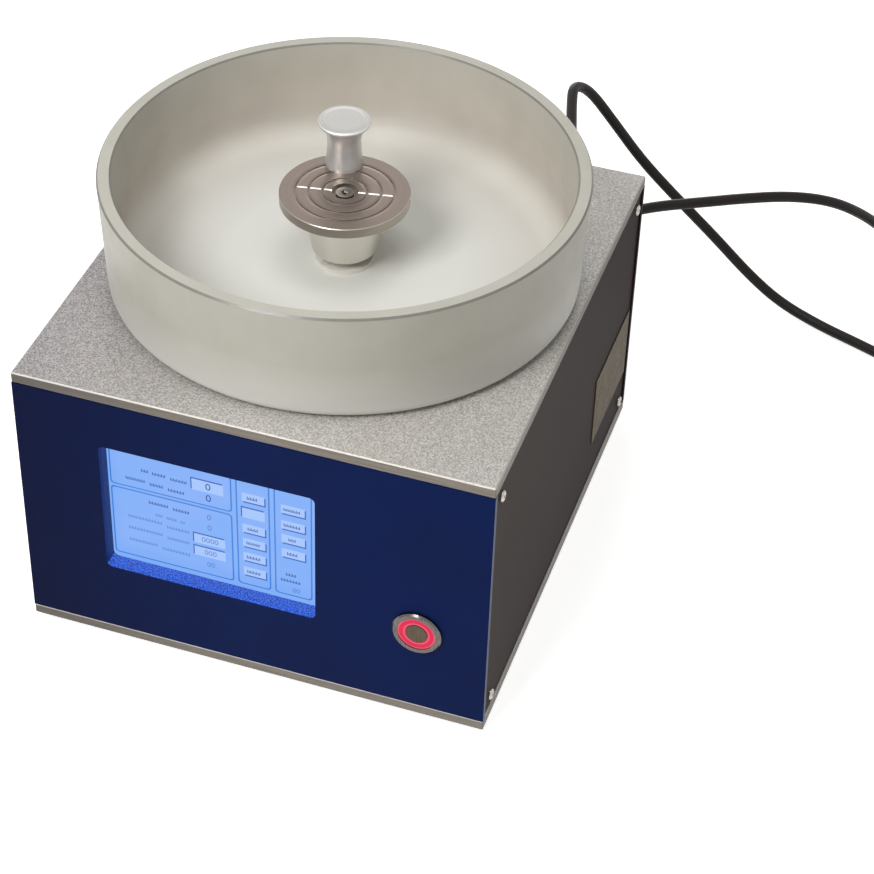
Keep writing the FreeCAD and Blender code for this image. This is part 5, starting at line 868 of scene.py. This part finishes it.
# ---- pieces
class SPINCOATER_OT_finish_case(bpy.types.Operator):
    """Finish the plates, panels, posts, feet, screws and label of the case"""
    bl_idname = "spin_coater.finish_case"
    bl_label = "Finish Case"

    def execute(self, context):
        tones = colours()
        dress(blasted_aluminium(), "top_plate", "bottom_plate")
        dress(front_coat(), "front_panel")
        dress(side_coat(), "side_panel_left", "side_panel_right", "rear_panel")
        dress(brushed_metal("Aluminium, extruded", "#B4B2AE", "#9B9995"), "corner_posts", "motor_standoffs")
        dress(brushed_metal("Stainless steel, bright screws", "#C4BFB6", "#A29C93", 0.22), "panel_fasteners")
        dress(moulded("Steel, black oxide", "#26262A", 0.4, 0.3, 0.01, "#1C1C1F", Metallic=0.6), "tie_screws",
              "motor_screws")
        dress(moulded("Rubber, black and moulded", "#1D1C1B", 0.75, 0.5, 0.03), "rubber_feet", "bowl_gasket",
              "chuck_o_ring")
        dress(moulded("Polyester film, satin and blank", tones.label, 0.4, 0.6, 0.01, "#5D503A",
                      Specular_IOR_Level=0.03), "side_label")
        return {"FINISHED"}


class SPINCOATER_OT_turn_bowl(bpy.types.Operator):
    """Turn the frosted glass bowl and finish its collar"""
    bl_idname = "spin_coater.turn_bowl"
    bl_label = "Turn Bowl"

    def execute(self, context):
        low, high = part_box("bowl")
        wall, floor = sizes().bowl_wall / MM, sizes().bowl_floor / MM
        rim, height = high.x / MM, (high.z - low.z) / MM
        lean = (rim - BOWL_BASE_RADIUS) / height
        inside = BOWL_BASE_RADIUS - wall + lean * (floor + BOWL_INNER_ROUND)
        across, down = BOWL_OUTER_CHAMFER
        profile = [(BOWL_HOLE_RADIUS, 0)]
        profile += rounded(BOWL_BASE_RADIUS - BOWL_FOOT_ROUND, BOWL_FOOT_ROUND, BOWL_FOOT_ROUND, -90, 0)
        profile += [(rim - BOWL_RIM_SWELL[0], height - BOWL_RIM_SWELL[1])]
        profile += [(rim, height - down), (rim - across, height)]
        profile += [(rim - wall + BOWL_INNER_CHAMFER, height), (rim - wall, height - BOWL_INNER_CHAMFER)]
        profile += rounded(inside - BOWL_INNER_ROUND, floor + BOWL_INNER_ROUND, BOWL_INNER_ROUND, 0, -90, 10)
        profile += [(BOWL_HOLE_RADIUS, floor), (BOWL_HOLE_RADIUS, 0)]
        bowl = turned("Bowl", profile, Vector((0, 0, low.z)), UP, frosted_glass(),
                      "root", BOWL_STEPS)
        bowl.data.materials.append(ground_glass())
        for face in bowl.data.polygons:  # the rim's chamfers slope; its top is flat
            if face.center.z > high.z - 1.5 * MM and 0.3 < face.normal.z < 0.9:
                face.material_index = 1
        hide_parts("bowl")
        dress(moulded("PTFE, white and turned", "#E4E1DA", 0.5, 0.8, 0.01, "#DAD6CE"), "bowl_collar")
        dress(moulded("Nylon, white screws", "#D8D5CE", 0.45, 0.5, 0.01), "collar_screws")
        return {"FINISHED"}


class SPINCOATER_OT_turn_chucks(bpy.types.Operator):
    """Finish the large grooved chuck, its screw and the small loose chuck"""
    bl_idname = "spin_coater.turn_chucks"
    bl_label = "Turn Chucks"

    def execute(self, context):
        tones = colours()
        low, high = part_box("small_chuck")
        # Painted reflection: the large chuck's face is darker, its rim and hub lighter.
        face = turned_metal("Aluminium, turned vacuum chuck", tones.chuck, "#857870", 0.32, 0.35,
                            side=tones.chuck_side_reflection, grooves=CHUCK_RINGS)
        dress(paint_cross_glint(face, CHUCK_RINGS), "chuck")
        # Painted reflection: the small chuck's sides are lighter than its top.
        dress(turned_metal("Aluminium, bright turned", tones.small_chuck, "#B1AFAB", 0.4, 0.3,
                           (low + high) / 2, 0.001, side="#DDDFDE", grooves=(SMALL_CHUCK_RING,),
                           metallic=0.75), "small_chuck")
        dress(turned_metal("Steel, ground", "#8B857D", "#6F6962", 0.3, 0.3), "chuck_screw", "motor_spindle")
        return {"FINISHED"}


class SPINCOATER_OT_draw_screen(bpy.types.Operator):
    """Draw the lit screen: panes, fields, keys and generic numbers"""
    bl_idname = "spin_coater.draw_screen"
    bl_label = "Draw Screen"

    def execute(self, context):
        tones = colours()
        dress(window_frame(), "display_frame")
        dress(lit("Touch screen, lit blue", tones.screen, 0.9, "#8FB9FF", 40.0), "touch_glass")
        draw_picture()
        dress(moulded("Screen panel", "#2A2F36", 0.3, 0.5, 0.01), "lcd_panel")
        return {"FINISHED"}


class SPINCOATER_OT_turn_button(bpy.types.Operator):
    """Finish the push button: bezel, lit ring, cap and return spring"""
    bl_idname = "spin_coater.turn_button"
    bl_label = "Turn Button"

    def execute(self, context):
        tones = colours()
        dress(brushed_metal("Stainless steel, turned bezel", "#7B7572", "#4C4744", 0.16), "button_bezel",
              "button_nut")
        dress(lit_ring(), "button_light_ring")
        dress(brushed_metal("Stainless steel, brushed cap", tones.cap, "#514437", 0.5, metallic=0.7),
              "button_cap")
        dress(moulded("Nylon, black", "#1A1A1B", 0.5), "button_switch_body")
        bend_spring(brushed_metal("Steel wire", "#A8A6A2", "#8C8A86"))
        return {"FINISHED"}


class SPINCOATER_OT_finish_rear(bpy.types.Operator):
    """Finish the inlet, rocker, fan and guard on the rear panel"""
    bl_idname = "spin_coater.finish_rear"
    bl_label = "Finish Rear"

    def execute(self, context):
        dress(moulded("Polyamide, black inlet", "#1A1919", 0.5, 0.4, 0.03), "mains_inlet", "fan_frame",
              "fan_rotor")
        dress(moulded("Polyamide, glossy rocker", "#141414", 0.18, 0.8, 0.005), "power_rocker")
        dress(brushed_metal("Steel wire, nickel plated", "#B9B7B2", "#9B9994", 0.22), "fan_guard")
        return {"FINISHED"}


class SPINCOATER_OT_finish_interior(bpy.types.Operator):
    """Finish the pieces inside the case"""
    bl_idname = "spin_coater.finish_interior"
    bl_label = "Finish Interior"

    def execute(self, context):
        dress(moulded("Steel, black painted can", "#1E1E20", 0.45), "motor_housing", "motor_end_bell")
        dress(brushed_metal("Electrical steel, stacked", "#7A7875", "#5E5C5A", 0.4, (0.04, 0.04, 1.0)),
              "motor_stator")
        dress(moulded("Ferrite, sintered", "#3A3A3C", 0.6), "motor_rotor")
        dress(brushed_metal("Bearing steel, ground", "#B5B3AF", "#9D9B97", 0.2), "bearing_inner_rings",
              "bearing_outer_rings")
        dress(turned_metal("Brass, turned", "#C9A557", "#B08C45", 0.28, 0.4), "rotary_union",
              "board_standoffs")
        dress(moulded("Polyurethane tube, blue", "#2C5FA8", 0.25, 0.6, 0.01), "vacuum_tubes")
        dress(moulded("Valve body, black", "#1C1C1D", 0.5), "vacuum_valve")
        dress(brushed_metal("Steel, zinc plated sheet", "#A9ABAC", "#939596", 0.35), "power_supply",
              "display_brackets")
        dress(moulded("Circuit board, green", "#14532B", 0.35, 0.8, 0.03, "#0F4423"), "control_board",
              "driver_board", "display_board")
        dress(moulded("Wire insulation, red", "#8E1A1A", 0.4), "wiring")
        return {"FINISHED"}


# ---- stage
FLOOR_SIZE = 12.0  # metres
FLOOR_GLOW = 0.7  # what the floor adds for rays that are seen, so that it looks white
WORLD_LIGHT = 0.23  # strength of the world on the pieces; it is seen at 1, which is white
LAMPS = (  # name, place and aim in millimetres, power in watts, size in metres
    ("Key", (-300, -900, 1150), (0, 0, 150), 12.0, 0.5),
    ("Ceiling", (100, -100, 1900), (0, 0, 150), 7.5, 0.8),
    ("Back", (-500, 1500, 500), (0, 0, 100), 5.0, 0.8),
)


class SPINCOATER_OT_light_stage(bpy.types.Operator):
    """Lay the pale floor, and set the lamps and the white world"""
    bl_idname = "spin_coater.light_stage"
    bl_label = "Light Stage"

    def execute(self, context):
        scene = context.scene
        deselect()
        bpy.ops.mesh.primitive_plane_add(size=FLOOR_SIZE, location=(0, 0, 0))
        floor = context.object
        floor.name = "Floor"
        material, tree, shader, place = new_finish("Floor, pale", Roughness=0.9)
        feed(shader, Base_Color="#F4F3F1", Emission_Color="#FFFFFF",
             Emission_Strength=multiply(tree, seen_rays(tree), FLOOR_GLOW))
        floor.data.materials.append(material)
        world = bpy.data.worlds.new("World")
        world.use_nodes = True
        scene.world = world
        tree = world.node_tree
        tree.nodes.clear()
        strength = spread(tree, seen_rays(tree), 0, 1, WORLD_LIGHT, 1.0)
        background = add_node(tree, "ShaderNodeBackground", sockets={"Color": (1, 1, 1, 1)},
                              links={"Strength": strength})
        add_node(tree, "ShaderNodeOutputWorld", links={"Surface": background.outputs["Background"]})
        for name, place, aim, power, size in LAMPS:
            lamp = bpy.data.lights.new(name, "AREA")
            lamp.energy = power
            lamp.size = size
            holder = bpy.data.objects.new(name, lamp)
            holder.location = mm(*place)
            holder.rotation_euler = (mm(*place) - mm(*aim)).to_track_quat("Z", "Y").to_euler()
            scene.collection.objects.link(holder)
        scene.view_settings.view_transform = "Standard"
        return {"FINISHED"}


# ---- panel and run
class SPINCOATER_PT_panel(bpy.types.Panel):
    """Spin coater's steps, sizes and colours"""
    bl_idname = "SPINCOATER_PT_panel"
    bl_label = "Spin Coater"
    bl_space_type = "VIEW_3D"
    bl_region_type = "UI"
    bl_category = "Spin Coater"

    def draw(self, context):
        for step in STEPS:
            self.layout.operator(step.bl_idname)
        for group in (context.scene.spin_coater_sizes, context.scene.spin_coater_colours):
            for name in group.bl_rna.properties.keys():
                if name not in ("name", "rna_type"):
                    self.layout.prop(group, name)


STEPS = (
    SPINCOATER_OT_set_camera, SPINCOATER_OT_lay_cords, SPINCOATER_OT_finish_case, SPINCOATER_OT_turn_bowl,
    SPINCOATER_OT_turn_chucks, SPINCOATER_OT_draw_screen, SPINCOATER_OT_turn_button,
    SPINCOATER_OT_finish_rear, SPINCOATER_OT_finish_interior, SPINCOATER_OT_light_stage,
)
CLASSES = (SpinCoaterSizes, SpinCoaterColours) + STEPS + (SPINCOATER_PT_panel,)


def register():
    for item in CLASSES:
        bpy.utils.register_class(item)
    bpy.types.Scene.spin_coater_sizes = bpy.props.PointerProperty(type=SpinCoaterSizes)
    bpy.types.Scene.spin_coater_colours = bpy.props.PointerProperty(type=SpinCoaterColours)


def unregister():
    del bpy.types.Scene.spin_coater_colours
    del bpy.types.Scene.spin_coater_sizes
    for item in reversed(CLASSES):
        bpy.utils.unregister_class(item)


def main():
    """Build the scene step by step."""
    register()
    for step in STEPS:
        group, name = step.bl_idname.split(".")
        getattr(getattr(bpy.ops, group), name)()


if __name__ == "__main__":
    main()
